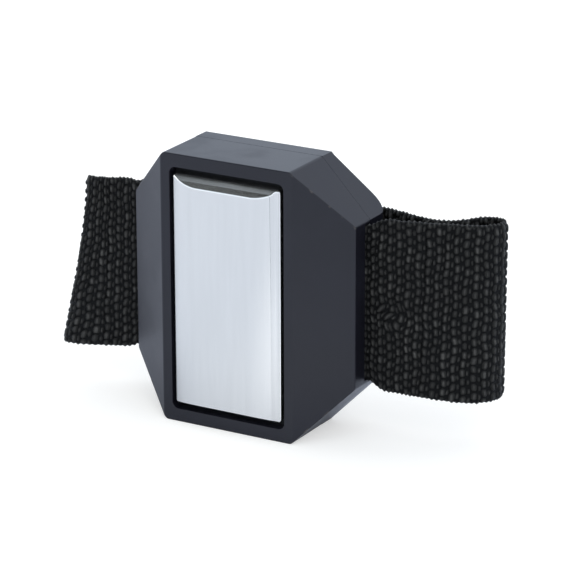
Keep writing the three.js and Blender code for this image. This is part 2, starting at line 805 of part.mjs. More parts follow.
/** The loop patch on the inner layer's outer face. */
function loopPatch() {
  const highX = closure.innerEnd - closure.loopInset;
  const lowX = highX - closure.loopLength;
  return closureStrip(lowX, highX, patchWidth, loopPatchFront, closure.patchThickness);
}

/** The hook patch on the tab's inner face. */
function hookPatch() {
  const tabRoot = -closure.outerStart - clearance;
  const highX = tabRoot - closure.hookInset;
  const lowX = tabRoot - closure.tabLength + closure.tabMargin;
  return closureStrip(lowX, highX, patchWidth, hookPatchFront, closure.patchThickness);
}

// The assembly.

const magnetNames = ['magnet_lower', 'magnet_middle', 'magnet_upper'];

const wristband = new THREE.Group();
wristband.position.set(0, -centreDepth / 2, halfHeight);
wristband.add(
  piece('front_shell', frontShell(), finishes.mouldedBlack),
  piece('rear_cover', rearCover(), finishes.mouldedBlack),
  piece('face_plate', steelFace(), finishes.brushedSteel),
  piece('magnet_carrier', magnetTray(), finishes.innerBlack),
  ...magnetHeights().map((z, index) => {
    return piece(magnetNames[index], magnetBlock(z), finishes.platedMagnet);
  }),
  piece('yoke_plate', yokePlate(), finishes.zincSteel),
  piece('pressure_pad', pressurePad(), finishes.foam),
  ...atScrews((x, z, index) => {
    return piece(`cover_screw_${index + 1}`, coverScrew(x, z), finishes.zincSteel);
  }),
  piece('strap_core', strapCore(), finishes.blackWebbing),
  piece('strap_right_loop', rightBand(), finishes.blackWebbing),
  piece('strap_right_tail', rightTail(), finishes.blackWebbing),
  piece('strap_peel_tab', peelTab(), finishes.blackWebbing),
  piece('strap_left_loop', leftBand(), finishes.blackWebbing),
  piece('strap_left_tail', leftTail(), finishes.blackWebbing),
  piece('hook_patch', hookPatch(), finishes.hookTape),
  piece('loop_patch', loopPatch(), finishes.loopTape),
);

export default wristband;
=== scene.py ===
"""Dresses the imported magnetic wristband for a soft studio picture.

The housing, its steel face and the screws are modelled with Blender's own tools. The strap is one
length of woven webbing that follows the same two edge routes as the CAD solids. Places are given
in millimetres as the part's source draws them: x along the strap, y back from the housing's front
face and z up from mid-height. ``row_point`` turns them into the shared frame in metres.
"""

import logging
import math
from collections.abc import Callable, Iterator, Sequence
from contextlib import contextmanager
from dataclasses import dataclass, field
from enum import Enum
from itertools import product

import bmesh
import bpy
import numpy as np
from mathutils import Matrix, Vector


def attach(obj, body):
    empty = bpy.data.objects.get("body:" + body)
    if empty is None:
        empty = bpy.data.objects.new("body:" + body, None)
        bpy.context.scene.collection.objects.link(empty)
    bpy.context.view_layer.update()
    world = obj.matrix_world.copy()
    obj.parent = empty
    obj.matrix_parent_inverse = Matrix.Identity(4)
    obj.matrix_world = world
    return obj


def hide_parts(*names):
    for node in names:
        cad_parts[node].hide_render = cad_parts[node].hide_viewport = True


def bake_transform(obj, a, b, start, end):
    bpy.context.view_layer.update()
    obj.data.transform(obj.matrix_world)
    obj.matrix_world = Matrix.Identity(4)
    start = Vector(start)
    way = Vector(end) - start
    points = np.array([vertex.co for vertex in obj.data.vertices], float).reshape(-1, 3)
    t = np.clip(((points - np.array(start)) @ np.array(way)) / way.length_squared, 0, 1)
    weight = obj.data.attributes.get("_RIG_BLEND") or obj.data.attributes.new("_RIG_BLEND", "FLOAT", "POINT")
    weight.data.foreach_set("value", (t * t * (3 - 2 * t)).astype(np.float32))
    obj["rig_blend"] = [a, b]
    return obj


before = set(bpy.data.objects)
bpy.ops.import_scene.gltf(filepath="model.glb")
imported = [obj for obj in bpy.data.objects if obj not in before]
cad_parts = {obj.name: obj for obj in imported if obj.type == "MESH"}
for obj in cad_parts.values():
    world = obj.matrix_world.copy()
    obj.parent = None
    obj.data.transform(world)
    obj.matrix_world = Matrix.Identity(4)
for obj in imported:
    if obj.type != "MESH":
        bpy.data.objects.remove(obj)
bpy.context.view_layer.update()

LOG = logging.getLogger("wristband")

MILLIMETRE = 0.001
FRONT_DEPTH = 9.15  # from the shared frame's origin forward to the housing's front face
MID_HEIGHT = 31.0
SIDES = (-1.0, 1.0)  # left and right, or lower and upper
ALONG = 0.99  # how squarely an edge has to run along an axis
CLEAR = 20.0  # degrees past which two faces count as two
SQUARE = 60.0  # degrees past which an edge counts as a square one

Point = tuple[float, float, float]
Colour = tuple[float, float, float]
FaceTest = Callable[[Vector, Vector], bool]
EdgeTest = Callable[[Vector, Vector, float], bool]


def row_point(x: float, y: float, z: float) -> Vector:
    """Gives a drawn place in the shared frame.

    Args:
        x: millimetres along the strap.
        y: millimetres back from the housing's front face.
        z: millimetres above mid-height.

    Returns:
        The point in metres.
    """
    return Vector((x, y - FRONT_DEPTH, z + MID_HEIGHT)) * MILLIMETRE


def drawn_place(point: Vector) -> Vector:
    """Gives a point of the shared frame as a drawn place in millimetres."""
    return Vector(point) / MILLIMETRE + Vector((0.0, FRONT_DEPTH, -MID_HEIGHT))


# Hand tools: the operators that shape a piece, each on a selection made in code.


def clear_selection() -> None:
    """Deselects every object."""
    bpy.ops.object.select_all(action="DESELECT")


def pick(obj: bpy.types.Object) -> None:
    """Makes one object the only selected one and the active one."""
    clear_selection()
    obj.select_set(True)
    bpy.context.view_layer.objects.active = obj


@contextmanager
def editing(obj: bpy.types.Object, whole: bool = False) -> Iterator[None]:
    """Opens an object in edit mode, and leaves edit mode at the end.

    Args:
        obj: the mesh object.
        whole: starts with all of it selected, where it is otherwise none of it.

    Yields:
        Nothing.
    """
    pick(obj)
    bpy.ops.object.mode_set(mode="EDIT")
    bpy.ops.mesh.select_mode(type="VERT")
    bpy.ops.mesh.select_all(action="SELECT" if whole else "DESELECT")
    try:
        yield
    finally:
        bpy.ops.object.mode_set(mode="OBJECT")


def select_faces(obj: bpy.types.Object, test: FaceTest) -> None:
    """Selects the faces of the object in edit mode that pass a test.

    Args:
        obj: the object that is open in edit mode.
        test: takes a face's middle as a drawn place, and its normal.
    """
    mesh = bmesh.from_edit_mesh(obj.data)
    bpy.ops.mesh.select_mode(type="FACE")
    for face in mesh.faces:
        if test(drawn_place(face.calc_center_median()), face.normal):
            face.select_set(True)
    bmesh.update_edit_mesh(obj.data)


def select_edges(obj: bpy.types.Object, test: EdgeTest) -> bool:
    """Selects the edges of the object in edit mode that pass a test.

    Args:
        obj: the object that is open in edit mode.
        test: takes an edge's middle as a drawn place, its direction, and the angle in degrees
            between its two faces.

    Returns:
        Whether any edge is selected.
    """
    mesh = bmesh.from_edit_mesh(obj.data)
    bpy.ops.mesh.select_mode(type="EDGE")
    found = False
    for edge in mesh.edges:
        if len(edge.link_faces) != 2:
            continue
        first, second = (corner.co for corner in edge.verts)
        angle = math.degrees(edge.calc_face_angle(0.0))
        if test(drawn_place((first + second) / 2), (second - first).normalized(), angle):
            edge.select_set(True)
            found = True
    bmesh.update_edit_mesh(obj.data)
    return found


def settle(name: str) -> bpy.types.Object:
    """Names the new primitive, puts its place, turn and scale into its mesh, and gives it."""
    obj = bpy.context.active_object
    obj.name = name
    obj.data.name = name
    bpy.ops.object.transform_apply(location=True, rotation=True, scale=True)
    return obj


def start_block(name: str, low: Point, high: Point) -> bpy.types.Object:
    """Adds a block between two drawn corners, to be shaped further.

    Args:
        name: the piece's name.
        low: its lowest corner.
        high: its highest corner.

    Returns:
        The new object, with its place in its mesh.
    """
    clear_selection()
    bottom, top = row_point(*low), row_point(*high)
    bpy.ops.mesh.primitive_cube_add(size=1.0, location=(bottom + top) / 2)
    bpy.context.active_object.scale = top - bottom
    return settle(name)


def start_bar(name: str, x: float, z: float, radius: float, near: float, far: float,
              sides: int = 24) -> bpy.types.Object:
    """Adds a round bar along y between two depths, to be shaped further.

    Args:
        name: the piece's name.
        x: its axis across.
        z: its axis in height.
        radius: its radius.
        near: where it starts.
        far: where it ends.
        sides: how many flats stand for its round side.

    Returns:
        The new object, with its place in its mesh.
    """
    clear_selection()
    bpy.ops.mesh.primitive_cylinder_add(
        vertices=sides, radius=radius * MILLIMETRE, depth=(far - near) * MILLIMETRE,
        location=row_point(x, (near + far) / 2, z), rotation=(math.radians(90.0), 0.0, 0.0))
    return settle(name)


def slice_off(obj: bpy.types.Object, place: Point, outward: Point) -> None:
    """Cuts an object with a plane and closes it, throwing away what lies outward of the plane.

    Args:
        obj: the object.
        place: a drawn place on the plane.
        outward: the plane's direction towards the part that goes.
    """
    with editing(obj, whole=True):
        bpy.ops.mesh.bisect(plane_co=row_point(*place), plane_no=Vector(outward).normalized(),
                            use_fill=True, clear_outer=True)


def round_edges(obj: bpy.types.Object, test: EdgeTest, width: float, segments: int,
                glint_and_wear: Callable[[Vector], bool] = lambda place: False,
                clamped: bool = True) -> None:
    """Rounds the edges that pass a test.

    Args:
        obj: the object.
        test: as for ``select_edges``.
        width: how far the rounding reaches along each face, in millimetres.
        segments: how many steps it has.
        glint_and_wear: tells, from the drawn place of a face's middle, whether the rounding stores 1
            there, for the finish to paint a highlight, on the housing partly scuffing.
        clamped: lets a short edge hold the whole rounding back.
    """
    with editing(obj):
        if not select_edges(obj, test):
            return
        bpy.ops.mesh.bevel(offset=width * MILLIMETRE, offset_type="OFFSET", segments=segments,
                           profile=0.5, affect="EDGES", clamp_overlap=clamped)
        mesh = bmesh.from_edit_mesh(obj.data)
        layers = mesh.faces.layers.float
        rim = layers.get("rim") or layers.new("rim")
        # Narrow rounding faces stored as 1 take a painted highlight in the finish, on the housing partly
        # scuffing.
        for face in mesh.faces:
            longest = max(edge.calc_length() for edge in face.edges)
            narrow = face.calc_area() < width * MILLIMETRE * longest
            if face.select and narrow and glint_and_wear(drawn_place(face.calc_center_median())):
                face[rim] = 1.0
        bmesh.update_edit_mesh(obj.data)


def apply_step(obj: bpy.types.Object, kind: str, **settings: object) -> None:
    """Adds a modifier to an object and applies it at once.

    Args:
        obj: the object.
        kind: the modifier's type.
        settings: its options.
    """
    pick(obj)
    step = obj.modifiers.new(kind.lower(), kind)
    for key, value in settings.items():
        setattr(step, key, value)
    bpy.ops.object.modifier_apply(modifier=step.name)


class Joining(Enum):
    """Ways to work a closed form into an object."""

    CUT = "DIFFERENCE"
    ADD = "UNION"
    TRIM = "INTERSECT"


def combine(obj: bpy.types.Object, joining: Joining, *forms: bpy.types.Object) -> None:
    """Works closed forms into an object one by one, and removes them.

    Args:
        obj: the object that changes.
        joining: takes each form away, adds it on, or keeps only what lies inside it.
        forms: closed objects.
    """
    for form in forms:
        apply_step(obj, "BOOLEAN", operation=joining.value, solver="EXACT", object=form)
        bpy.data.objects.remove(form, do_unlink=True)


def smooth_shading(obj: bpy.types.Object, degrees: float = 30.0) -> None:
    """Shades an object smooth across edges flatter than an angle, and keeps its flats flat.

    Args:
        obj: the object.
        degrees: the steepest edge that is still smooth.
    """
    pick(obj)
    bpy.ops.object.shade_smooth_by_angle(angle=math.radians(degrees))
    apply_step(obj, "WEIGHTED_NORMAL", keep_sharp=True)


def face_outwards(obj: bpy.types.Object, close: bool = False) -> None:
    """Turns the faces of a mesh outwards.

    Args:
        obj: the object.
        close: fills the mesh's open ends first.
    """
    with editing(obj, whole=True):
        if close:
            bpy.ops.mesh.region_to_loop()
            bpy.ops.mesh.fill()
            bpy.ops.mesh.select_all(action="SELECT")
        bpy.ops.mesh.normals_make_consistent(inside=False)


def tube_faces(base: int, steps: int, sides: int) -> list[tuple[int, int, int, int]]:
    """Joins rings of points, numbered one ring after another, into the skin of a tube.

    Args:
        base: the first point's number.
        steps: how many steps there are between rings.
        sides: how many points a ring has.

    Returns:
        Point numbers, four to a face.
    """
    return [(low + side, low + (side + 1) % sides, low + sides + (side + 1) % sides,
             low + sides + side)
            for low in range(base, base + steps * sides, sides) for side in range(sides)]


def mesh_object(name: str, places: Sequence[Point] | np.ndarray,
                faces: Sequence[Sequence[int]] | np.ndarray) -> bpy.types.Object:
    """Makes an object from drawn places and four-sided faces.

    Args:
        name: the piece's name.
        places: one row of three numbers in millimetres for each point.
        faces: one row of four point numbers for each face.

    Returns:
        The new object, shaded smooth.
    """
    points = (np.array(places) + (0.0, -FRONT_DEPTH, MID_HEIGHT)) * MILLIMETRE
    corners = np.array(faces, np.int32)
    mesh = bpy.data.meshes.new(name)
    mesh.vertices.add(len(points))
    mesh.vertices.foreach_set("co", points.astype(np.float32).ravel())
    mesh.loops.add(corners.size)
    mesh.loops.foreach_set("vertex_index", corners.ravel())
    mesh.polygons.add(len(corners))
    mesh.polygons.foreach_set("loop_start", np.arange(0, corners.size, 4, dtype=np.int32))
    mesh.update(calc_edges=True)
    mesh.polygons.foreach_set("use_smooth", np.ones(len(corners), bool))
    mesh.validate()
    obj = bpy.data.objects.new(name, mesh)
    bpy.context.scene.collection.objects.link(obj)
    return obj


def write_values(obj: bpy.types.Object, name: str, values: np.ndarray) -> None:
    """Stores one number a point on a mesh, for its material to read."""
    attribute = obj.data.attributes.new(name, "FLOAT", "POINT")
    attribute.data.foreach_set("value", np.asarray(values, np.float32).ravel())


def write_run(obj: bpy.types.Object, along: np.ndarray, across: np.ndarray) -> None:
    """Stores lengths along and across as the UV map that the yarn follows.

    Args:
        obj: the piece.
        along: a length for each point.
        across: a height for each point.
    """
    layer = obj.data.uv_layers.new(name="run")
    index = np.empty(len(obj.data.loops), np.int32)
    obj.data.loops.foreach_get("vertex_index", index)
    values = np.column_stack((along.ravel()[index], across.ravel()[index]))
    layer.data.foreach_set("uv", values.astype(np.float32).ravel())


# Materials.


class NodeSheet:
    """The nodes of one tree, added and wired in a few words."""

    def __init__(self, tree: bpy.types.NodeTree) -> None:
        """Takes the tree that the nodes go into."""
        self.tree = tree

    @classmethod
    def of(cls, owner: bpy.types.Material | bpy.types.World) -> "NodeSheet":
        """Clears the nodes of a material or a world and opens them."""
        owner.use_nodes = True
        owner.node_tree.nodes.clear()
        return cls(owner.node_tree)

    def add(self, kind: str, inputs: dict[str | int, object] | None = None,
            **settings: object) -> bpy.types.Node:
        """Adds a node.

        Args:
            kind: the node's type name.
            inputs: a value or an output socket for each named or numbered input.
            settings: the node's own options.

        Returns:
            The node.
        """
        node = self.tree.nodes.new(kind)
        for key, value in settings.items():
            setattr(node, key, value)
        for key, value in (inputs or {}).items():
            self.feed(node.inputs[key], value)
        return node

    def feed(self, socket: bpy.types.NodeSocket, value: object) -> None:
        """Gives an input a value, or wires an output socket to it."""
        if isinstance(value, bpy.types.NodeSocket):
            self.tree.links.new(value, socket)
        else:
            socket.default_value = value

    def maths(self, operation: str, *operands: object,
              clamp: bool = False) -> bpy.types.NodeSocket:
        """Adds a Math node.

        Args:
            operation: what it does.
            operands: its inputs in order.
            clamp: keeps the result between 0 and 1.

        Returns:
            Its output.
        """
        inputs = dict(enumerate(operands))
        node = self.add("ShaderNodeMath", inputs, operation=operation, use_clamp=clamp)
        return node.outputs[0]

    def noise(self, vector: object, scale: object, detail: float,
              roughness: float = 0.5) -> bpy.types.NodeSocket:
        """Adds a Noise Texture node.

        Args:
            vector: where it is read.
            scale: how fine it is.
            detail: how many finer layers it has.
            roughness: how strong these are.

        Returns:
            The noise from 0 to 1.
        """
        inputs = {"Vector": vector, "Scale": scale, "Detail": detail, "Roughness": roughness}
        return self.add("ShaderNodeTexNoise", inputs).outputs["Fac"]

    def span(self, value: object, low: object, high: object, to_low: object = 0.0,
             to_high: object = 1.0) -> bpy.types.NodeSocket:
        """Maps a span of values smoothly to another.

        Args:
            value: what is mapped.
            low: where the span starts.
            high: where it ends.
            to_low: the result at its start.
            to_high: the result at its end.

        Returns:
            The mapped value.
        """
        inputs = {"Value": value, "From Min": low, "From Max": high,
                  "To Min": to_low, "To Max": to_high}
        node = self.add("ShaderNodeMapRange", inputs, interpolation_type="SMOOTHSTEP")
        return node.outputs["Result"]

    def tint(self, share: object, first: object, second: object) -> bpy.types.NodeSocket:
        """Mixes two colours.

        Args:
            share: how much of the second.
            first: a colour or a socket.
            second: a colour or a socket.

        Returns:
            The mixed colour.
        """
        node = self.add("ShaderNodeMix", data_type="RGBA")
        for index, value in ((0, share), (6, first), (7, second)):
            if isinstance(value, tuple):
                value = (*value, 1.0)
            self.feed(node.inputs[index], value)
        return node.outputs[2]

    def bump(self, height: object, distance: float, strength: float = 1.0,
             normal: object = None) -> bpy.types.NodeSocket:
        """Adds a Bump node.

        Args:
            height: the height from 0 to 1.
            distance: what a height of 1 stands for, in metres.
            strength: how much of it shows.
            normal: an earlier normal to build on.

        Returns:
            The normal.
        """
        inputs = {"Height": height, "Distance": distance, "Strength": strength}
        if normal is not None:
            inputs["Normal"] = normal
        return self.add("ShaderNodeBump", inputs).outputs["Normal"]


class SharedEffect(Enum):
    """Effects that more than one finish uses, each kept as one node group."""

    GRAIN = "moulded_grain"
    EDGE_GLINT_AND_WEAR = "edge_glint_and_wear"
    BRUSHING = "brushed_lines"
    YARN = "yarn_filaments"


class EffectShelf:
    """Builds each shared effect once and hands it to the finishes."""

    def __init__(self) -> None:
        """Builds all the effects."""
        self.trees = {
            SharedEffect.GRAIN: self.grain(),
            SharedEffect.EDGE_GLINT_AND_WEAR: self.edge_glint_and_wear(),
            SharedEffect.BRUSHING: self.brushing(),
            SharedEffect.YARN: self.yarn(),
        }

    def place(self, sheet: NodeSheet, effect: SharedEffect,
              inputs: dict[str | int, object]) -> bpy.types.bpy_prop_collection:
        """Adds a shared effect to a material, with its values here, and gives its outputs."""
        return sheet.add("ShaderNodeGroup", inputs, node_tree=self.trees[effect]).outputs

    @staticmethod
    def new_group(effect: SharedEffect, inputs: dict[str, float], outputs: Sequence[str]) -> tuple[
            NodeSheet, bpy.types.bpy_prop_collection, bpy.types.bpy_prop_collection]:
        """Starts a node group.

        Args:
            effect: the effect that it holds.
            inputs: its inputs and their usual values.
            outputs: its outputs.

        Returns:
            The group's nodes, the sockets that give its inputs and those that take its outputs.
        """
        tree = bpy.data.node_groups.new(effect.value, "ShaderNodeTree")
        for name, value in inputs.items():
            socket = tree.interface.new_socket(
                name=name, in_out="INPUT", socket_type="NodeSocketFloat")
            socket.default_value = value
        for name in outputs:
            tree.interface.new_socket(name=name, in_out="OUTPUT", socket_type="NodeSocketFloat")
        sheet = NodeSheet(tree)
        return sheet, sheet.add("NodeGroupInput").outputs, sheet.add("NodeGroupOutput").inputs

    def grain(self) -> bpy.types.NodeTree:
        """Builds a fine grain with slow cloudy patches.

        Returns:
            The group: Fine is the grain, Patches the clouds.
        """
        sheet, given, result = self.new_group(
            SharedEffect.GRAIN, {"Grain": 4000.0, "Cloud": 60.0}, ("Fine", "Patches"))
        spot = sheet.add("ShaderNodeTexCoord").outputs["Object"]
        fine = sheet.noise(spot, given["Grain"], 3.0, 0.6)
        cloud = sheet.noise(spot, given["Cloud"], 4.0, 0.55)
        sheet.feed(result["Fine"], fine)
        sheet.feed(result["Patches"], sheet.span(cloud, 0.35, 0.68))
        return sheet.tree

    def edge_glint_and_wear(self) -> bpy.types.NodeTree:
        """Builds a mask that shows on a piece's marked rims and breaks up along them: a painted highlight,
        which on the housing's corner chamfers also stands for scuffing.

        Returns:
            The group: Mask is the painted rim highlight, on the housing also scuffing, and Sparse is how
                much of a rim stays unmarked.
        """
        sheet, given, result = self.new_group(
            SharedEffect.EDGE_GLINT_AND_WEAR, {"Break": 900.0, "Sparse": 0.5}, ("Mask",))
        # Marked rims: painted highlights on the steel face, pale tan lines on the housing's chamfers (partly
        # scuffing, partly painted highlight).
        rim = sheet.add("ShaderNodeAttribute", attribute_name="rim").outputs["Fac"]
        spot = sheet.add("ShaderNodeTexCoord").outputs["Object"]
        edge_marks = sheet.noise(spot, given["Break"], 3.0)
        full = sheet.maths("ADD", given["Sparse"], 0.14)
        broken = sheet.span(edge_marks, given["Sparse"], full, 0.05, 1.0)
        sheet.feed(result["Mask"], sheet.maths("MULTIPLY", rim, broken, clamp=True))
        return sheet.tree

    def brushing(self) -> bpy.types.NodeTree:
        """Builds long fine scratches along z.

        Returns:
            The group: Lines are fine scratches, Bands are wide soft streaks.
        """
        sheet, given, result = self.new_group(
            SharedEffect.BRUSHING, {"Fine": 7000.0, "Length": 60.0, "Wide": 700.0},
            ("Lines", "Bands"))
        spot = sheet.add("ShaderNodeTexCoord").outputs["Object"]
        parts = sheet.add("ShaderNodeSeparateXYZ", {0: spot}).outputs

        def stretched(across: object, seed: float, detail: float) -> bpy.types.NodeSocket:
            """Gives noise stretched along z, with its own seed and detail."""
            spread = [sheet.maths("MULTIPLY", parts[axis], across) for axis in (0, 1)]
            along = sheet.maths("MULTIPLY", parts[2], given["Length"])
            place = sheet.add("ShaderNodeCombineXYZ", {
                0: spread[0], 1: spread[1], 2: sheet.maths("ADD", along, seed)})
            return sheet.noise(place.outputs[0], 1.0, detail)

        fine = stretched(given["Fine"], 0.0, 4.0)
        wide = stretched(given["Wide"], 31.0, 2.0)
        sheet.feed(result["Lines"], sheet.span(fine, 0.3, 0.7))
        sheet.feed(result["Bands"], sheet.span(wide, 0.32, 0.68))
        return sheet.tree

    def yarn(self) -> bpy.types.NodeTree:
        """Builds the filaments of a yarn along the piece's UV map.

        Returns:
            The group: Strands are the filaments, Fuzz their uneven tone.
        """
        sheet, given, result = self.new_group(
            SharedEffect.YARN, {"Along": 3.0, "Across": 16.0}, ("Strands", "Fuzz"))
        spot = sheet.add("ShaderNodeUVMap", uv_map="run").outputs["UV"]
        parts = sheet.add("ShaderNodeSeparateXYZ", {0: spot}).outputs
        along = sheet.maths("MULTIPLY", parts[0], given["Along"])
        across = sheet.maths("MULTIPLY", parts[1], given["Across"])
        place = sheet.add("ShaderNodeCombineXYZ", {0: along, 1: across, 2: 0.0}).outputs[0]
        for name, noise in (("Strands", sheet.noise(place, 1.0, 2.0, 0.6)),
                            ("Fuzz", sheet.noise(place, 0.31, 3.0))):
            sheet.feed(result[name], sheet.span(noise, 0.3, 0.7))
        return sheet.tree


@dataclass(frozen=True)
class Finish:
    """What every finish has: a name, and the record's slot if that is named otherwise."""

    name: str
    slot: str = ""

    def make(self, shelf: EffectShelf) -> bpy.types.Material:
        """Builds the material.

        Args:
            shelf: the shared effects.

        Returns:
            The material.
        """
        material = bpy.data.materials.new(self.name)
        sheet = NodeSheet.of(material)
        shader = sheet.add("ShaderNodeBsdfPrincipled")
        sheet.add("ShaderNodeOutputMaterial", {"Surface": shader.outputs["BSDF"]})
        for name, value in self.looks(sheet, shelf).items():
            sheet.feed(shader.inputs[name], value)
        return material

    def looks(self, sheet: NodeSheet, shelf: EffectShelf) -> dict[str, object]:
        """Wires the finish's own nodes.

        Args:
            sheet: the material's nodes.
            shelf: the shared effects.

        Returns:
            A number or a socket for each of the shader's inputs that the finish sets.
        """
        raise NotImplementedError(self.name)


@dataclass(frozen=True)
class MouldedPlastic(Finish):
    """Black moulded plastic with a fine grain, and pale tan lines along its marked edges: partly scuffing,
    partly painted highlight.
    """

    colour: Colour = (0.0072, 0.007, 0.0105)
    patch_gain: float = 1.25
    # Pale tan colour painted along the corner chamfers' edges: partly scuffing, partly painted highlight.
    glint_and_wear: Colour = (0.16, 0.135, 0.11)
    roughness: float = 0.3
    glint_and_wear_share: float = 0.36
    glint_and_wear_scale: float = 420.0
    unmarked: float = 0.53
    gloss: float = 0.325
    grain_depth: float = 0.000012

    def looks(self, sheet: NodeSheet, shelf: EffectShelf) -> dict[str, object]:
        """Wires cloudy plastic with pale tan edge lines, partly scuffing and partly painted highlight.

        Args:
            sheet: the material's nodes.
            shelf: the shared effects.

        Returns:
            What the shader's inputs get.
        """
        grain = shelf.place(sheet, SharedEffect.GRAIN, {"Grain": 3600.0, "Cloud": 70.0})
        edge_marks = shelf.place(sheet, SharedEffect.EDGE_GLINT_AND_WEAR, {
            "Break": self.glint_and_wear_scale, "Sparse": self.unmarked})
        patches = grain["Patches"]
        lighter = tuple(self.patch_gain * part for part in self.colour)
        body = sheet.tint(patches, self.colour, lighter)
        # Pale tan lines on the marked chamfer edges: partly scuffing, partly painted highlight.
        glint_and_wear_share = sheet.maths("MULTIPLY", edge_marks["Mask"], self.glint_and_wear_share)
        rough = sheet.span(patches, 0.0, 1.0, self.roughness - 0.03, self.roughness + 0.04)
        return {"Base Color": sheet.tint(glint_and_wear_share, body, self.glint_and_wear),
                "Roughness": sheet.maths("MULTIPLY_ADD", grain["Fine"], 0.06, rough),
                "Specular IOR Level": self.gloss,
                "Normal": sheet.bump(grain["Fine"], self.grain_depth, 0.5)}


@dataclass(frozen=True)
class BrushedMetal(Finish):
    """Metal brushed along z, with soft streaks and painted highlights along its marked rims."""

    colour: Colour = (0.608, 0.598, 0.558)
    streak: Colour = (0.575, 0.566, 0.528)
    # Painted highlight: the marked rims are made this much paler than the steel.
    highlight_gain: float = 1.35
    glint_and_wear_share: float = 0.95
    glint_and_wear_scale: float = 300.0
    unmarked: float = 0.2
    roughness: float = 0.22
    spread: float = 0.05
    anisotropy: float = 0.5
    fine: float = 9000.0
    depth: float = 0.0000018

    def looks(self, sheet: NodeSheet, shelf: EffectShelf) -> dict[str, object]:
        """Wires brushed metal with painted highlights on its rims.

        Args:
            sheet: the material's nodes.
            shelf: the shared effects.

        Returns:
            What the shader's inputs get.
        """
        brushed = shelf.place(sheet, SharedEffect.BRUSHING, {
            "Fine": self.fine, "Length": 55.0, "Wide": 650.0})
        edge_marks = shelf.place(sheet, SharedEffect.EDGE_GLINT_AND_WEAR, {
            "Break": self.glint_and_wear_scale, "Sparse": self.unmarked})
        lines = brushed["Lines"]
        bands = sheet.maths("MULTIPLY", brushed["Bands"], 0.6)
        toned = sheet.tint(bands, self.colour, self.streak)
        lined = sheet.tint(sheet.maths("MULTIPLY", lines, 0.2), toned, self.streak)
        # Painted highlight colour for the rims.
        painted_highlight = tuple(min(1.0, self.highlight_gain * part) for part in self.colour)
        glint_and_wear_share = sheet.maths("MULTIPLY", edge_marks["Mask"], self.glint_and_wear_share)
        return {"Base Color": sheet.tint(glint_and_wear_share, lined, painted_highlight),
                "Roughness": sheet.span(lines, 0.0, 1.0, self.roughness,
                                        self.roughness + self.spread),
                "Metallic": 1.0,
                "Anisotropic": self.anisotropy,
                "Normal": sheet.bump(lines, self.depth, 0.6)}


@dataclass(frozen=True)
class WovenYarn(Finish):
    """Yarn with painted highlights on its floats and painted shade in the gaps between them, from values
    kept on the mesh.
    """

    # Painted shade in the gaps between floats.
    gap_shade: Colour = (0.0018, 0.0018, 0.0016)
    body: Colour = (0.023, 0.0221, 0.02)
    # Painted highlight on the floats' crests.
    crest: Colour = (0.093, 0.089, 0.081)
    roughness: float = 0.48
    shine: float = 0.11
    strands: float = 14.0
    strand_depth: float = 0.00006

    def looks(self, sheet: NodeSheet, shelf: EffectShelf) -> dict[str, object]:
        """Wires yarn that pales from painted shade in its gaps to painted highlights on its crests.

        Args:
            sheet: the material's nodes.
            shelf: the shared effects.

        Returns:
            What the shader's inputs get.
        """
        lift, tone = (sheet.add("ShaderNodeAttribute", attribute_name=name).outputs["Fac"]
                      for name in ("lift", "tone"))
        yarn = shelf.place(sheet, SharedEffect.YARN, {"Along": self.strands, "Across": 2.5})
        strands = yarn["Strands"]
        # Painted highlight where the floats are highest and painted shade where the yarn lies low; the fuzz
        # darkens at random towards that dark colour.
        crest = sheet.maths("MULTIPLY", sheet.span(lift, 0.72, 1.0), tone)
        base = sheet.tint(sheet.span(lift, 0.05, 0.6), self.gap_shade, self.body)
        topped = sheet.tint(crest, base, self.crest)
        uneven = sheet.maths("MULTIPLY", yarn["Fuzz"], 0.35)
        return {"Base Color": sheet.tint(uneven, topped, self.gap_shade),
                "Roughness": sheet.span(strands, 0.0, 1.0, self.roughness - 0.08,
                                        self.roughness + 0.12),
                "Specular IOR Level": self.shine,
                "Normal": sheet.bump(strands, self.strand_depth, 0.8)}


@dataclass(frozen=True)
class SoftFoam(Finish):
    """Dark closed-cell foam with painted shade in its cell pits."""

    colour: Colour = (0.016, 0.017, 0.019)
    # Painted shade in the cell pits: their colour is this share of the foam's.
    pit_shade_share: float = 0.4
    cells: float = 1500.0
    cell_depth: float = 0.00015

    def looks(self, sheet: NodeSheet, shelf: EffectShelf) -> dict[str, object]:
        """Wires rounded cells with painted shade in their pits, and cloudy patches.

        Args:
            sheet: the material's nodes.
            shelf: the shared effects.

        Returns:
            What the shader's inputs get.
        """
        spot = sheet.add("ShaderNodeTexCoord").outputs["Object"]
        cell = sheet.add("ShaderNodeTexVoronoi", {"Vector": spot, "Scale": self.cells})
        grain = shelf.place(sheet, SharedEffect.GRAIN, {"Grain": 2500.0, "Cloud": 90.0})
        depth = sheet.span(cell.outputs["Distance"], 0.0, 0.7)
        # Darker towards each cell's middle, where its pit is: painted shade; the cloudy patches darken at
        # random towards the same colour.
        dark = tuple(self.pit_shade_share * part for part in self.colour)
        cells = sheet.tint(depth, dark, self.colour)
        patches = sheet.maths("MULTIPLY", grain["Patches"], 0.3)
        return {"Base Color": sheet.tint(patches, cells, dark),
                "Roughness": sheet.maths("MULTIPLY_ADD", grain["Fine"], 0.1, 0.85),
                "Normal": sheet.bump(depth, self.cell_depth, 0.7)}


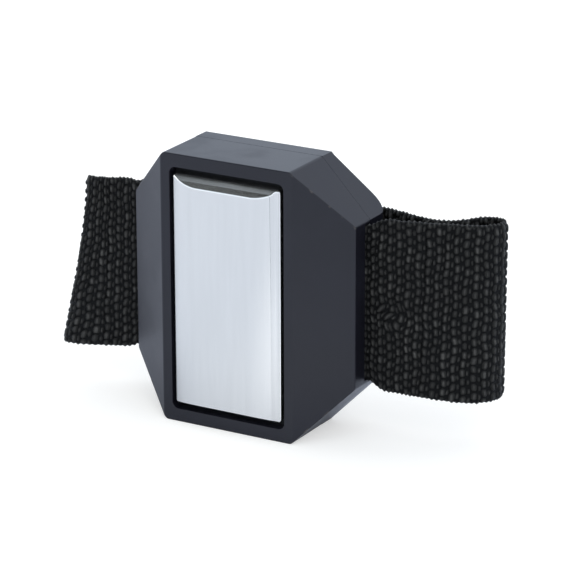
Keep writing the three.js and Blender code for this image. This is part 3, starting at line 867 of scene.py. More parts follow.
class Wardrobe:
    """All the finishes of the wristband, made once."""

    def __init__(self) -> None:
        """Makes the shared effects and every finish."""
        shelf = EffectShelf()
        finishes = (
            MouldedPlastic("moulded_black"),
            MouldedPlastic("inner_black", colour=(0.0035, 0.0035, 0.004), roughness=0.6,
                           glint_and_wear_share=0.15),
            BrushedMetal("brushed_face"),
            BrushedMetal("plated_magnet", colour=(0.4, 0.41, 0.43), streak=(0.33, 0.34, 0.36),
                         roughness=0.3, anisotropy=0.2),
            BrushedMetal("zinc_steel", colour=(0.45, 0.46, 0.49), streak=(0.36, 0.37, 0.4),
                         roughness=0.34, anisotropy=0.1),
            BrushedMetal("screw_steel", colour=(0.42, 0.43, 0.46), streak=(0.33, 0.34, 0.37),
                         roughness=0.32, anisotropy=0.0),
            WovenYarn("black_webbing"),
            WovenYarn("hook_tape", roughness=0.4, shine=0.2, body=(0.009, 0.009, 0.0095)),
            WovenYarn("loop_tape", roughness=0.8, body=(0.014, 0.014, 0.0145)),
            WovenYarn("stitch_thread", "black_webbing", body=(0.02, 0.02, 0.021),
                      crest=(0.05, 0.05, 0.052), roughness=0.4),
            SoftFoam("foam"),
        )
        self.materials = {one.name: one.make(shelf) for one in finishes}
        self.slots = {one.name: one.slot or one.name for one in finishes}

    def dress(self, piece: bpy.types.Object, finish: str, body: str | None, *nodes: str) -> None:
        """Gives a new piece its finish, hangs it on its body and reports it.

        Args:
            piece: the piece.
            finish: the finish's name.
            body: the body that it rides on, or nothing for a piece that bends between two.
            nodes: the CAD nodes that it replaces.
        """
        piece.data.materials.clear()
        piece.data.materials.append(self.materials[finish])
        if nodes:
            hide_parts(*nodes)
        if body:
            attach(piece, body)
        LOG.info("made %s with %d faces", piece.name, len(piece.data.polygons))

    def dress_node(self, node: str, finish: str) -> None:
        """Gives a CAD node that stays a finish, in its object's own slots.

        Args:
            node: the node's name.
            finish: the finish's name.
        """
        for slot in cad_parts[node].material_slots:
            slot.link = "OBJECT"
            slot.material = self.materials[finish]
        LOG.info("kept the CAD node %s in %s", node, finish)


# The housing.


@dataclass
class Housing:
    """The moulded housing: front shell, rear cover and the four screws that hold them."""

    half_height: float = 31.0
    face_half: float = 16.5
    end_half: float = 15.9
    half_width: float = 27.8
    side_half: float = 18.5
    bevel_depth: float = 7.5
    parting_depth: float = 14.02
    parting_gap: float = 0.06
    back_depth: float = 18.3
    wing_depth: float = 22.6
    wing_rounding: float = 3.7
    wing_steps: int = 12
    corner_rounding: float = 0.45
    crease: float = 0.26
    parting_crease: float = 0.03
    # Where the corner chamfers start; their creases take pale tan lines, partly scuffing and partly painted
    # highlight.
    glint_and_wear_past: tuple[float, float] = (5.0, 15.0)
    wall: float = 1.8
    cover_wall: float = 2.2
    face_wall: float = 2.6
    cover_floor: float = 2.2
    window_half_width: float = 14.25
    window_half_height: float = 27.95
    window_rounding: float = 1.5
    window_crease: float = 0.18
    slot_half: float = 17.9
    slot_near: float = 11.7
    screw_x: float = 12.4
    screw_z: float = 27.5
    screw_angles: tuple[float, ...] = (12.0, 61.0, 34.0, 80.0)
    screw_sink: float = 1.8
    head_radius: float = 2.2
    head_height: float = 1.3
    head_rounding: float = 0.45
    cross_half: tuple[float, float] = (1.45, 0.24)
    cross_floor: float = 0.45
    shank_radius: float = 1.1
    shank_length: float = 8.0
    seat_radius: float = 2.5
    seat_sink: float = 2.1
    seat_crease: float = 0.2
    bore_radius: float = 1.4
    spare: float = 1.0

    def outline_cuts(self, inset: float = 0.0) -> list[tuple[Point, Point]]:
        """Gives the four corner chamfers of the front view.

        Args:
            inset: how far inside the outer faces they lie.

        Returns:
            A place and an outward direction for each.
        """
        outward = Vector((self.half_height - self.side_half, 0.0,
                          self.half_width - self.end_half)).normalized()
        cuts = []
        for side_x, side_z in product(SIDES, SIDES):
            normal = Vector((side_x * outward.x, 0.0, side_z * outward.z))
            place = Vector((side_x * self.end_half, 0.0, side_z * self.half_height))
            cuts.append((tuple(place - inset * normal), tuple(normal)))
        return cuts

    def bevel_cuts(self, inset: float = 0.0) -> list[tuple[Point, Point]]:
        """Gives the two long side bevels of the plan view.

        Args:
            inset: how far inside the outer faces they lie.

        Returns:
            A place and an outward direction for each.
        """
        run = self.half_width - self.face_half
        outward = Vector((self.bevel_depth, -run, 0.0)).normalized()
        cuts = []
        for side in SIDES:
            normal = Vector((side * outward.x, outward.y, 0.0))
            place = Vector((side * self.face_half, 0.0, 0.0))
            cuts.append((tuple(place - inset * normal), tuple(normal)))
        return cuts

    def outline_block(self, name: str, near: float, far: float,
                      inset: float = 0.0) -> bpy.types.Object:
        """Makes a block with the housing's chamfered outline.

        Args:
            name: its name.
            near: the depth at which it starts.
            far: the depth at which it ends.
            inset: how far inside the outer faces it stays.

        Returns:
            The block.
        """
        across, up = self.half_width - inset, self.half_height - inset
        block = start_block(name, (-across, near, -up), (across, far, up))
        for place, outward in self.outline_cuts(inset):
            slice_off(block, place, outward)
        return block

    def wing_trough(self, name: str, floor: float) -> bpy.types.Object:
        """Makes the form that is left free between and behind the swept wings.

        Args:
            name: its name.
            floor: how far in front of the cover's rear faces it starts.

        Returns:
            The closed form, which a cut takes away.
        """
        sweep = self.wing_depth - self.back_depth
        run = self.half_width - self.face_half
        reach, up = self.half_width + 20 * self.spare, self.half_height + 2 * self.spare
        trough = start_block(name, (-reach, self.back_depth - floor, -up),
                             (reach, self.wing_depth + 6 * self.spare, up))
        for side in SIDES:
            normal = Vector((side * sweep, -run, 0.0)).normalized()
            place = Vector((side * self.face_half, self.back_depth, 0.0)) + floor * normal
            slice_off(trough, tuple(place), tuple(normal))
        return trough

    @staticmethod
    def runs_back(place: Vector, way: Vector, angle: float) -> bool:
        """Tells whether an edge between two clear faces runs straight back."""
        return abs(way.y) > ALONG and angle > CLEAR

    def on_window_rim(self, place: Vector, way: Vector, angle: float) -> bool:
        """Tells whether an edge lies on the rim of the window."""
        return (abs(place.y) < 0.01 and angle > SQUARE
                and abs(place.x) < self.window_half_width + 0.01
                and abs(place.z) < self.window_half_height + 0.01)

    def glint_and_wear(self, place: Vector) -> bool:
        """Tells whether a front crease is one of the corner chamfers', which are painted pale: partly
        scuffing, partly painted highlight.
        """
        return abs(place.x) > self.glint_and_wear_past[0] and abs(place.z) > self.glint_and_wear_past[1]

    def front_shell(self) -> bpy.types.Object:
        """Models the front shell: bevels and chamfers sliced off, then hollow, window and slots.

        Returns:
            The shell.
        """
        shell = self.outline_block("front_shell_moulding", 0.0, self.parting_depth)
        for place, outward in self.bevel_cuts():
            slice_off(shell, place, outward)
        round_edges(shell, self.runs_back, self.corner_rounding, 4)
        back = self.parting_depth - 0.01
        # The corner chamfers' creases are marked for pale tan lines: partly scuffing, partly painted
        # highlight.
        round_edges(shell, lambda place, way, angle: angle > 18.0 and place.y < back,
                    self.crease, 3, glint_and_wear=self.glint_and_wear)
        round_edges(shell, lambda place, way, angle: angle > SQUARE and place.y > back,
                    self.parting_crease, 1)
        hollow = self.outline_block("hollow", self.face_wall, self.parting_depth + self.spare,
                                    self.wall)
        for place, outward in self.bevel_cuts(self.wall):
            slice_off(hollow, place, outward)
        combine(shell, Joining.CUT, hollow, self.window_cut(), *self.slot_cuts())
        round_edges(shell, self.on_window_rim, self.window_crease, 2)
        smooth_shading(shell)
        return shell

    def window_cut(self) -> bpy.types.Object:
        """Makes the rounded form of the window that the steel face stands in."""
        across, up = self.window_half_width, self.window_half_height
        cut = start_block("window", (-across, -self.spare, -up),
                          (across, self.face_wall + self.spare, up))
        round_edges(cut, self.runs_back, self.window_rounding, 6)
        return cut

    def slot_cuts(self) -> list[bpy.types.Object]:
        """Makes the two slots that the strap leaves through."""
        cuts = []
        for side in SIDES:
            left, right = sorted((side * (self.half_width - self.wall - self.spare),
                                  side * (self.half_width + self.spare)))
            cuts.append(start_block("slot", (left, self.slot_near, -self.slot_half),
                                    (right, self.parting_depth + self.spare, self.slot_half)))
        return cuts

    def rear_cover(self) -> bpy.types.Object:
        """Models the rear cover: the outline block, its trough between the wings, hollow, seats.

        Returns:
            The cover.
        """
        near = self.parting_depth + self.parting_gap
        front = near + 0.01
        tip = self.wing_depth - 0.2
        cover = self.outline_block("rear_cover_moulding", near, self.wing_depth + 2 * self.spare)
        combine(cover, Joining.CUT, self.wing_trough("trough", 0.0))
        round_edges(cover, lambda place, way, angle: abs(way.z) > ALONG and place.y > tip,
                    self.wing_rounding, self.wing_steps)
        round_edges(cover, self.runs_back, self.corner_rounding, 4)
        round_edges(cover, lambda place, way, angle: angle > 50.0 and place.y > front,
                    self.crease, 2)
        round_edges(cover, lambda place, way, angle: angle > SQUARE and place.y < front,
                    self.parting_crease, 1)
        hollow = self.outline_block("hollow", near - self.spare, self.wing_depth, self.cover_wall)
        combine(hollow, Joining.CUT, self.wing_trough("hollow_trough", self.cover_floor))
        combine(cover, Joining.CUT, hollow)
        behind = self.back_depth + 3 * self.spare
        for x, z in self.screw_places():
            combine(cover, Joining.CUT,
                    start_bar("seat", x, z, self.seat_radius, self.back_depth - self.seat_sink,
                              behind, 40),
                    start_bar("bore", x, z, self.bore_radius, near - self.spare, behind))
        round_edges(cover, self.on_seat_rim, self.seat_crease, 2)
        smooth_shading(cover)
        return cover

    def on_seat_rim(self, place: Vector, way: Vector, angle: float) -> bool:
        """Tells whether an edge lies on the rim of a screw's seat."""
        if abs(place.y - self.back_depth) > 0.02 or angle < SQUARE:
            return False
        return any(abs(math.hypot(place.x - x, place.z - z) - self.seat_radius) < 0.1
                   for x, z in self.screw_places())

    def screw_places(self) -> list[tuple[float, float]]:
        """Gives each screw's place across and in height, in the record's order."""
        return [(x * self.screw_x, z * self.screw_z) for x, z in product(SIDES, SIDES)]

    def screw(self, index: int) -> bpy.types.Object:
        """Models one cover screw: a rounded head with a cross recess on a ringed shank.

        Args:
            index: its number from 0.

        Returns:
            The screw.
        """
        x, z = self.screw_places()[index]
        seat = self.back_depth - self.screw_sink
        head = start_bar(f"cover_screw_{index + 1}_head", x, z, self.head_radius, seat,
                         seat + self.head_height, 48)
        round_edges(head, lambda place, way, angle: place.y > seat + 1.2 and angle > SQUARE,
                    self.head_rounding, 4)
        long, thin = self.cross_half
        for quarter in (0.0, math.pi / 2):
            blade = start_block("blade", (x - long, seat + self.cross_floor, z - thin),
                                (x + long, seat + 2 * self.spare, z + thin))
            with editing(blade, whole=True):
                bpy.ops.transform.rotate(
                    value=math.radians(self.screw_angles[index]) + quarter, orient_axis="Y",
                    center_override=row_point(x, seat, z))
                bpy.ops.mesh.select_all(action="DESELECT")
                select_faces(blade, lambda place, normal: normal.y < -0.9)
                bpy.ops.transform.resize(value=(0.55, 1.0, 0.55))
            combine(head, Joining.CUT, blade)
        shank = start_bar("shank", x, z, self.shank_radius, seat - self.shank_length, seat + 0.3)
        with editing(shank):
            select_faces(shank, lambda place, normal: normal.y < -0.9)
            bpy.ops.mesh.inset(thickness=0.25 * MILLIMETRE)
            bpy.ops.transform.resize(value=(0.35, 1.0, 0.35))
            bpy.ops.transform.translate(value=(0.0, -0.0007, 0.0))
        combine(head, Joining.ADD, shank)
        smooth_shading(head)
        return head

    def build(self, wardrobe: Wardrobe) -> None:
        """Models, dresses and mounts every piece of the housing.

        Args:
            wardrobe: the finishes.
        """
        wardrobe.dress(self.front_shell(), "moulded_black", "housing", "front_shell")
        wardrobe.dress(self.rear_cover(), "moulded_black", "housing", "rear_cover")
        for index in range(len(self.screw_angles)):
            wardrobe.dress(self.screw(index), "screw_steel", "housing",
                           f"cover_screw_{index + 1}")


@dataclass
class MagnetPack:
    """The steel face and what is stacked behind it."""

    half_width: float = 13.4
    half_height: float = 26.55
    proud: float = 1.5
    rim_depth: float = 2.6
    crown_start: float = 8.6
    crown_edge: tuple[float, float] = (11.4, -0.75)
    seat_start: tuple[float, float] = (12.2, 0.2)
    left_edge_depth: float = 0.22
    seat_fall: float = 0.1
    crown_rounding: float = 1.84
    shoulder_rounding: float = 0.32
    hollow_rounding: float = 0.21
    rim_rounding: float = 0.19
    end_bevel: float = 2.2
    end_curve: float = 6.0
    end_rounding: float = 1.4
    foot_bevel: float = 0.88
    corner: float = 0.9
    merge_within: float = 0.02
    sheet: float = 0.8
    pad_low: Point = (-12.95, 8.1, -17.0)
    pad_high: Point = (12.95, 11.7, 17.0)
    pad_cuts: int = 7
    pad_rounding: float = 0.5
    pad_crown: float = 0.12

    def crowned_block(self) -> bpy.types.Object:
        """Models the cap's middle, whose long edges fall away in two steps.

        Returns:
            The closed block.
        """
        up = self.half_height
        edge_x, edge_y = self.crown_edge
        block = start_block("steel_face_cap", (-self.half_width, -self.proud, -up),
                            (self.half_width, self.rim_depth, up))
        feet = {-1.0: (self.half_width, self.left_edge_depth), 1.0: self.seat_start}
        for side, (foot_x, foot_y) in feet.items():
            slice_off(block, (side * self.crown_start, -self.proud, 0.0),
                      (side * (edge_y + self.proud), self.crown_start - edge_x, 0.0))
            slice_off(block, (side * edge_x, edge_y, 0.0),
                      (side * (foot_y - edge_y), edge_x - foot_x, 0.0))
        return block

    def seat_block(self) -> bpy.types.Object:
        """Models the narrow flat seat beside the crown, and the wall behind it.

        Returns:
            The closed block.
        """
        seat_x, seat_y = self.seat_start
        block = start_block("seat", (0.0, seat_y, -self.half_height),
                            (self.half_width, self.rim_depth, self.half_height))
        slice_off(block, (seat_x, seat_y, 0.0), (self.seat_fall, seat_x - self.half_width, 0.0))
        return block

    def bevel_ends(self, cap: bpy.types.Object) -> None:
        """Slices the upper end to a gently curved bevel and the lower one to a steep one.

        Args:
            cap: the cap's form before its ends are shaped.
        """
        bend = math.radians(self.end_curve)
        crest = (0.0, -self.proud, self.half_height - self.end_bevel)
        rim = (0.0, self.end_bevel - self.proud, self.half_height)
        for place, slope in ((crest, math.pi / 4 - bend), (rim, math.pi / 4 + bend)):
            slice_off(cap, place, (0.0, -math.cos(slope), math.sin(slope)))
        round_edges(cap, lambda place, way, angle: abs(way.x) > ALONG and 4.0 < angle < CLEAR,
                    self.end_rounding, 8)
        slice_off(cap, (0.0, -self.proud, self.foot_bevel - self.half_height),
                  (0.0, -self.foot_bevel, -self.end_bevel))

    def pressed_cap(self) -> bpy.types.Object:
        """Models the cap's outer form: pressed plan, bevelled ends and soft outline corners.

        Returns:
            The closed outer form.
        """
        cap = self.crowned_block()
        combine(cap, Joining.ADD, self.seat_block())
        for (x, y), width, segments in (
                ((self.crown_start, -self.proud), self.crown_rounding, 16),
                (self.crown_edge, self.shoulder_rounding, 2),
                (self.seat_start, self.hollow_rounding, 1)):
            round_edges(cap, lambda place, way, angle, x=x, y=y: (
                abs(way.z) > ALONG and abs(abs(place.x) - x) < 0.02 and abs(place.y - y) < 0.02),
                width, segments)
        self.bevel_ends(cap)
        corners = start_block(
            "corners", (-self.half_width, -self.proud - 1.0, -self.half_height),
            (self.half_width, self.rim_depth + 1.0, self.half_height))
        round_edges(corners, Housing.runs_back, self.corner, 6)
        combine(cap, Joining.TRIM, corners)
        with editing(cap, whole=True):
            bpy.ops.mesh.remove_doubles(threshold=self.merge_within * MILLIMETRE)
        return cap

    def on_rim(self, place: Vector, way: Vector, angle: float) -> bool:
        """Tells whether an edge lies on the cap's outer rim or round a bevelled end."""
        past_x = abs(place.x) - (self.half_width - self.corner)
        past_z = abs(place.z) - (self.half_height - self.corner)
        at_side = abs(place.x) > self.half_width - 0.05
        at_corner = min(past_x, past_z) > 0.0 and math.hypot(past_x, past_z) > self.corner - 0.1
        fall = place.y + self.proud
        past_chord = place.z - (self.half_height - self.end_bevel) - fall
        foot = self.half_height - self.foot_bevel + fall * self.foot_bevel / self.end_bevel
        on_end = -0.03 < past_chord < 0.3 or abs(place.z + foot) < 0.03
        return angle > 24.0 and place.y < 1.0 and (at_side or at_corner or on_end)

    def face(self) -> bpy.types.Object:
        """Models the finished steel face: outer form, thin pressed wall and soft rims.

        Returns:
            The steel face.
        """
        cap = self.pressed_cap()
        with editing(cap):
            select_faces(cap, lambda place, normal: normal.y > ALONG)
            bpy.ops.mesh.delete(type="FACE")
        apply_step(cap, "SOLIDIFY", thickness=self.sheet * MILLIMETRE, offset=-1.0,
                   use_even_offset=True)
        # Every rim of the steel face is marked for a painted highlight.
        round_edges(cap, self.on_rim, self.rim_rounding, 4, glint_and_wear=lambda place: True,
                    clamped=False)
        smooth_shading(cap, 35.0)
        return cap

    def pressure_pad(self) -> bpy.types.Object:
        """Models the foam pad with crowned faces and soft edges.

        Returns:
            The pad.
        """
        pad = start_block("foam_pressure_pad", self.pad_low, self.pad_high)
        with editing(pad, whole=True):
            bpy.ops.mesh.subdivide(number_cuts=self.pad_cuts)
        round_edges(pad, lambda place, way, angle: angle > SQUARE, self.pad_rounding, 3)
        middle = (self.pad_low[1] + self.pad_high[1]) / 2
        for corner in pad.data.vertices:
            place = drawn_place(corner.co)
            side = 1.0 if place.y > middle else -1.0
            edge = max(abs(place.x) / self.pad_high[0], abs(place.z) / self.pad_high[2])
            corner.co.y -= side * self.pad_crown * MILLIMETRE * edge ** 4
        smooth_shading(pad, 40.0)
        return pad

    def build(self, wardrobe: Wardrobe) -> None:
        """Models, dresses and mounts the stack.

        Args:
            wardrobe: the finishes.
        """
        wardrobe.dress(self.face(), "brushed_face", "housing", "face_plate")
        pad = self.pressure_pad()
        wardrobe.dress(pad, "foam", "housing", "pressure_pad")
        wardrobe.dress_node("magnet_carrier", "inner_black")
        for node in ("magnet_lower", "magnet_middle", "magnet_upper"):
            wardrobe.dress_node(node, "plated_magnet")
        wardrobe.dress_node("yoke_plate", "zinc_steel")


# The strap.


def smooth_curve(points: np.ndarray, counts: int) -> np.ndarray:
    """Runs a centripetal Catmull-Rom curve through points, as the part's source does.

    Args:
        points: one row of three numbers for each point.
        counts: how many steps to give.

    Returns:
        counts + 1 points at even steps of the curve's own parameter.
    """
    last = len(points) - 1
    result = np.empty((counts + 1, 3))
    for step in range(counts + 1):
        place = step / counts * last
        index = min(int(place), last - 1)
        weight = place - index
        if index == last - 1 and step == counts:
            weight = 1.0
        second, third = points[index], points[index + 1]
        first = points[index - 1] if index > 0 else 2 * second - third
        fourth = points[index + 2] if index + 2 <= last else 2 * third - second
        spans = [max(float(np.sum((b - a) ** 2)) ** 0.25, 1e-4)
                 for a, b in ((first, second), (second, third), (third, fourth))]
        spans[0] = spans[1] if spans[0] < 1e-3 else spans[0]
        spans[2] = spans[1] if spans[2] < 1e-3 else spans[2]
        lead = ((second - first) / spans[0] - (third - first) / (spans[0] + spans[1])
                + (third - second) / spans[1]) * spans[1]
        trail = ((third - second) / spans[1] - (fourth - second) / (spans[1] + spans[2])
                 + (fourth - third) / spans[2]) * spans[1]
        cubic = 2 * second - 2 * third + lead + trail
        square = -3 * second + 3 * third - 2 * lead - trail
        result[step] = ((cubic * weight + square) * weight + lead) * weight + second
    return result


@dataclass
class RingSide:
    """One side of the flattened ring: its loop, the seam at the fold and its tail."""

    side: float
    reach: float
    depth: float
    drop: float
    seam_shares: tuple[float, float]
    seam_degrees: float
    corner_drop_share: float
    lower_loop: Sequence[Point]
    upper_loop: Sequence[Point]
    tail: Sequence[Point]

    @property
    def heading(self) -> np.ndarray:
        """The direction of the strap where it passes the seam."""
        turn = math.radians(self.seam_degrees)
        return np.array((math.cos(turn), math.sin(turn), 0.0))


@dataclass
class StrapRoute:
    """The whole strap's two edges, from the inner layer's end to the tip of the peel tab.

    The lengths and shares are those that the part's source draws its solids with, apart from
    the left fold's upper edge, which lies up to 1.2 mm further in.
    """

    width: float = 38.6
    slot_width: float = 35.4
    root_x: float = 28.7
    middle_depth: float = 12.8
    wing_x: float = 25.2
    corner_depth: float = 22.57
    inner_depth: float = 23.9
    outer_depth: float = 28.8
    inner_end: float = 4.0
    inner_bend: float = 21.0
    outer_start: float = 0.4
    tab_end: float = -25.1
    drop: float = 0.6
    seam_gap: float = 0.3
    seam_straight: float = 1.1
    outer_rise: Sequence[tuple[float, float]] = ((0.3, 0.18), (0.57, 0.52), (0.8, 0.86))
    loop_steps: int = 240
    tail_steps: int = 320
    core_steps: int = 60
    tip_steps: int = 40
    look_ahead: float = 0.45
    right: RingSide = field(default_factory=lambda: RingSide(
        1.0, 26.8, 13.8, 0.6, (0.74, 1.0), 225.0, 1.0,
        ((0, 0, 0), (0.12, -0.01, 0), (0.27, -0.015, 0), (0.43, -0.015, 0), (0.6, 0.015, 0),
         (0.78, 0.07, 0), (0.91, 0.2, 0.1), (0.99, 0.42, 0.3), (1, 0.66, 0.6), (0.95, 0.89, 0.8),
         (0.86, 1.04, 0.9)),
        ((0, 0, 0), (0.12, 0.035, 0), (0.27, 0.1, 0), (0.47, 0.21, 0), (0.63, 0.32, 0),
         (0.79, 0.44, 0.1), (0.9, 0.6, 0.3), (0.955, 0.81, 0.6), (0.93, 1.01, 0.8),
         (0.84, 1.08, 0.9)),
        ((0.14, 1.03, 1), (0.27, 1.55, 1), (0.43, 1.6, 1), (0.6, 1.45, 1), (0.76, 1.22, 1),
         (0.88, 1.08, 1))))
    left: RingSide = field(default_factory=lambda: RingSide(
        -1.0, 21.4, 3.2, 3.0, (0.6, 1.0), 33.0, 0.5,
        ((0, 0, 0), (0.15, -0.15, 0.25), (0.45, -0.5, 0.55), (0.81, -0.75, 0.8),
         (0.955, -0.68, 0.85), (1, -0.31, 0.9), (0.95, 0.12, 0.95), (0.79, 0.56, 1)),
        ((0, 0, 0), (0.15, -0.03, 0.1), (0.43, -0.16, 0.25), (0.59, -0.22, 0.35),
         (0.67, -0.14, 0.4), (0.7, 0.19, 0.5), (0.68, 0.56, 0.65)),
        ((0.34, 0.42, 0.95), (0.62, 0.76, 0.85), (0.84, 0.93, 0.7))))

    def __post_init__(self) -> None:
        """Lays both edges out and measures the strap along its middle."""
        lower, upper = (self.edge_line(edge) for edge in (-1.0, 1.0))
        steps = (np.linalg.norm(np.diff(lower, axis=0), axis=1)
                 + np.linalg.norm(np.diff(upper, axis=0), axis=1)) / 2
        self.places = np.concatenate(((0.0,), np.cumsum(steps)))
        self.lower, self.upper = lower, upper
        self.length = float(self.places[-1])

    def seam(self, ring: RingSide, edge: float) -> np.ndarray:
        """Gives the seam's place on one edge."""
        return np.array((ring.side * (self.root_x + ring.seam_shares[0] * ring.reach),
                         self.middle_depth + ring.seam_shares[1] * ring.depth,
                         edge * self.width / 2 - ring.drop))

    def loop_points(self, ring: RingSide, edge: float) -> np.ndarray:
        """Lays one edge from the slot round the fold to the seam.

        Args:
            ring: the ring's side.
            edge: -1 for the lower edge and 1 for the upper.

        Returns:
            Points along the edge.
        """
        shares = ring.upper_loop if edge > 0 else ring.lower_loop
        points = []
        for index, (along, depth, drop) in enumerate(shares):
            half = (self.slot_width if index == 0 else self.width) / 2
            points.append((ring.side * (self.root_x + along * ring.reach),
                           self.middle_depth + depth * ring.depth,
                           edge * half - drop * ring.drop))
        seam = self.seam(ring, edge)
        points.append(seam - self.seam_straight * ring.heading)
        points.append(seam)
        return smooth_curve(np.array(points, float), self.loop_steps)

    def tail_points(self, ring: RingSide, edge: float, onward: Sequence[Point]) -> np.ndarray:
        """Lays one edge from the seam past the wing's corner and on into the closure.

        Args:
            ring: the ring's side.
            edge: -1 for the lower edge and 1 for the upper.
            onward: the places after the wing's corner, with their height from the edge.

        Returns:
            Points along the edge.
        """
        half = edge * self.width / 2
        seam = self.seam(ring, edge)
        start = seam + self.seam_gap * ring.heading
        points = [start, start + self.seam_straight * ring.heading]
        corner_x = ring.side * self.wing_x
        for along, depth, drop in ring.tail:
            points.append(np.array((
                seam[0] + along * (corner_x - seam[0]),
                seam[1] + depth * (self.corner_depth - seam[1]),
                half - (self.drop + drop * (ring.drop - self.drop)))))
        fall = self.drop + ring.corner_drop_share * (ring.drop - self.drop)
        points.append(np.array((corner_x, self.corner_depth, half - fall)))
        points.extend(np.array((x, y, half - self.drop)) for x, y, _ in onward)
        return smooth_curve(np.array(points, float), self.tail_steps)

    def edge_line(self, edge: float) -> np.ndarray:
        """Lays one whole edge, from the inner layer's end to the tip of the peel tab.

        Args:
            edge: -1 for the lower edge and 1 for the upper.

        Returns:
            Points along the edge.
        """
        rise = [(self.wing_x + along * (self.outer_start - self.wing_x),
                 self.corner_depth + depth * (self.outer_depth - self.corner_depth), 0.0)
                for along, depth in self.outer_rise]
        outer = [*rise, *((x, self.outer_depth, 0.0)
                          for x in (self.outer_start, -self.outer_start))]
        inner = [(x, self.inner_depth, 0.0)
                 for x in (-self.inner_bend, -self.inner_bend / 2, self.inner_end)]
        left = np.concatenate((
            self.tail_points(self.left, edge, inner)[::-1],
            self.loop_points(self.left, edge)[::-1][1:]))
        right = np.concatenate((
            self.loop_points(self.right, edge),
            self.tail_points(self.right, edge, outer)))
        tab = np.array((self.tab_end, self.outer_depth, edge * self.width / 2 - self.drop))
        across = np.linspace(0.0, 1.0, self.core_steps)[1:-1, None]
        onward = np.linspace(0.0, 1.0, self.tip_steps)[1:, None]
        return np.concatenate((left, left[-1] + (right[0] - left[-1]) * across, right,
                               right[-1] + (tab - right[-1]) * onward))

    def place_of(self, x: float, after: float, falling: bool = False) -> float:
        """Finds where the strap's middle passes an x.

        Args:
            x: the place across.
            after: how far along the search starts.
            falling: looks for the strap passing it towards lower x.

        Returns:
            The length along the strap.
        """
        middle = (self.lower[:, 0] + self.upper[:, 0]) / 2
        for index in np.flatnonzero(self.places >= after)[:-1]:
            here, there = middle[index], middle[index + 1]
            if (here > x >= there) if falling else (here < x <= there):
                share = (x - here) / (there - here)
                return float(self.places[index] * (1 - share) + self.places[index + 1] * share)
        raise ValueError(f"the strap never passes {x}")

    def frames(self, lengths: np.ndarray) -> tuple[np.ndarray, np.ndarray, np.ndarray, np.ndarray]:
        """Gives both edges and their sideways directions at lengths along the strap.

        Args:
            lengths: lengths from the inner layer's end.

        Returns:
            Lower points, upper points, and the level direction to the left at each.
        """

        def along(line: np.ndarray, step: float, axes: int) -> np.ndarray:
            """Gives an edge's places a step further than each length."""
            reach = np.clip(lengths + step, 0.0, self.length) if step else lengths
            return np.column_stack([np.interp(reach, self.places, line[:, axis])
                                    for axis in range(axes)])

        lefts = []
        for line in (self.lower, self.upper):
            way = along(line, self.look_ahead, 2) - along(line, -self.look_ahead, 2)
            way /= np.linalg.norm(way, axis=1)[:, None]
            lefts.append(np.column_stack((-way[:, 1], way[:, 0], np.zeros(len(way)))))
        return along(self.lower, 0.0, 3), along(self.upper, 0.0, 3), lefts[0], lefts[1]


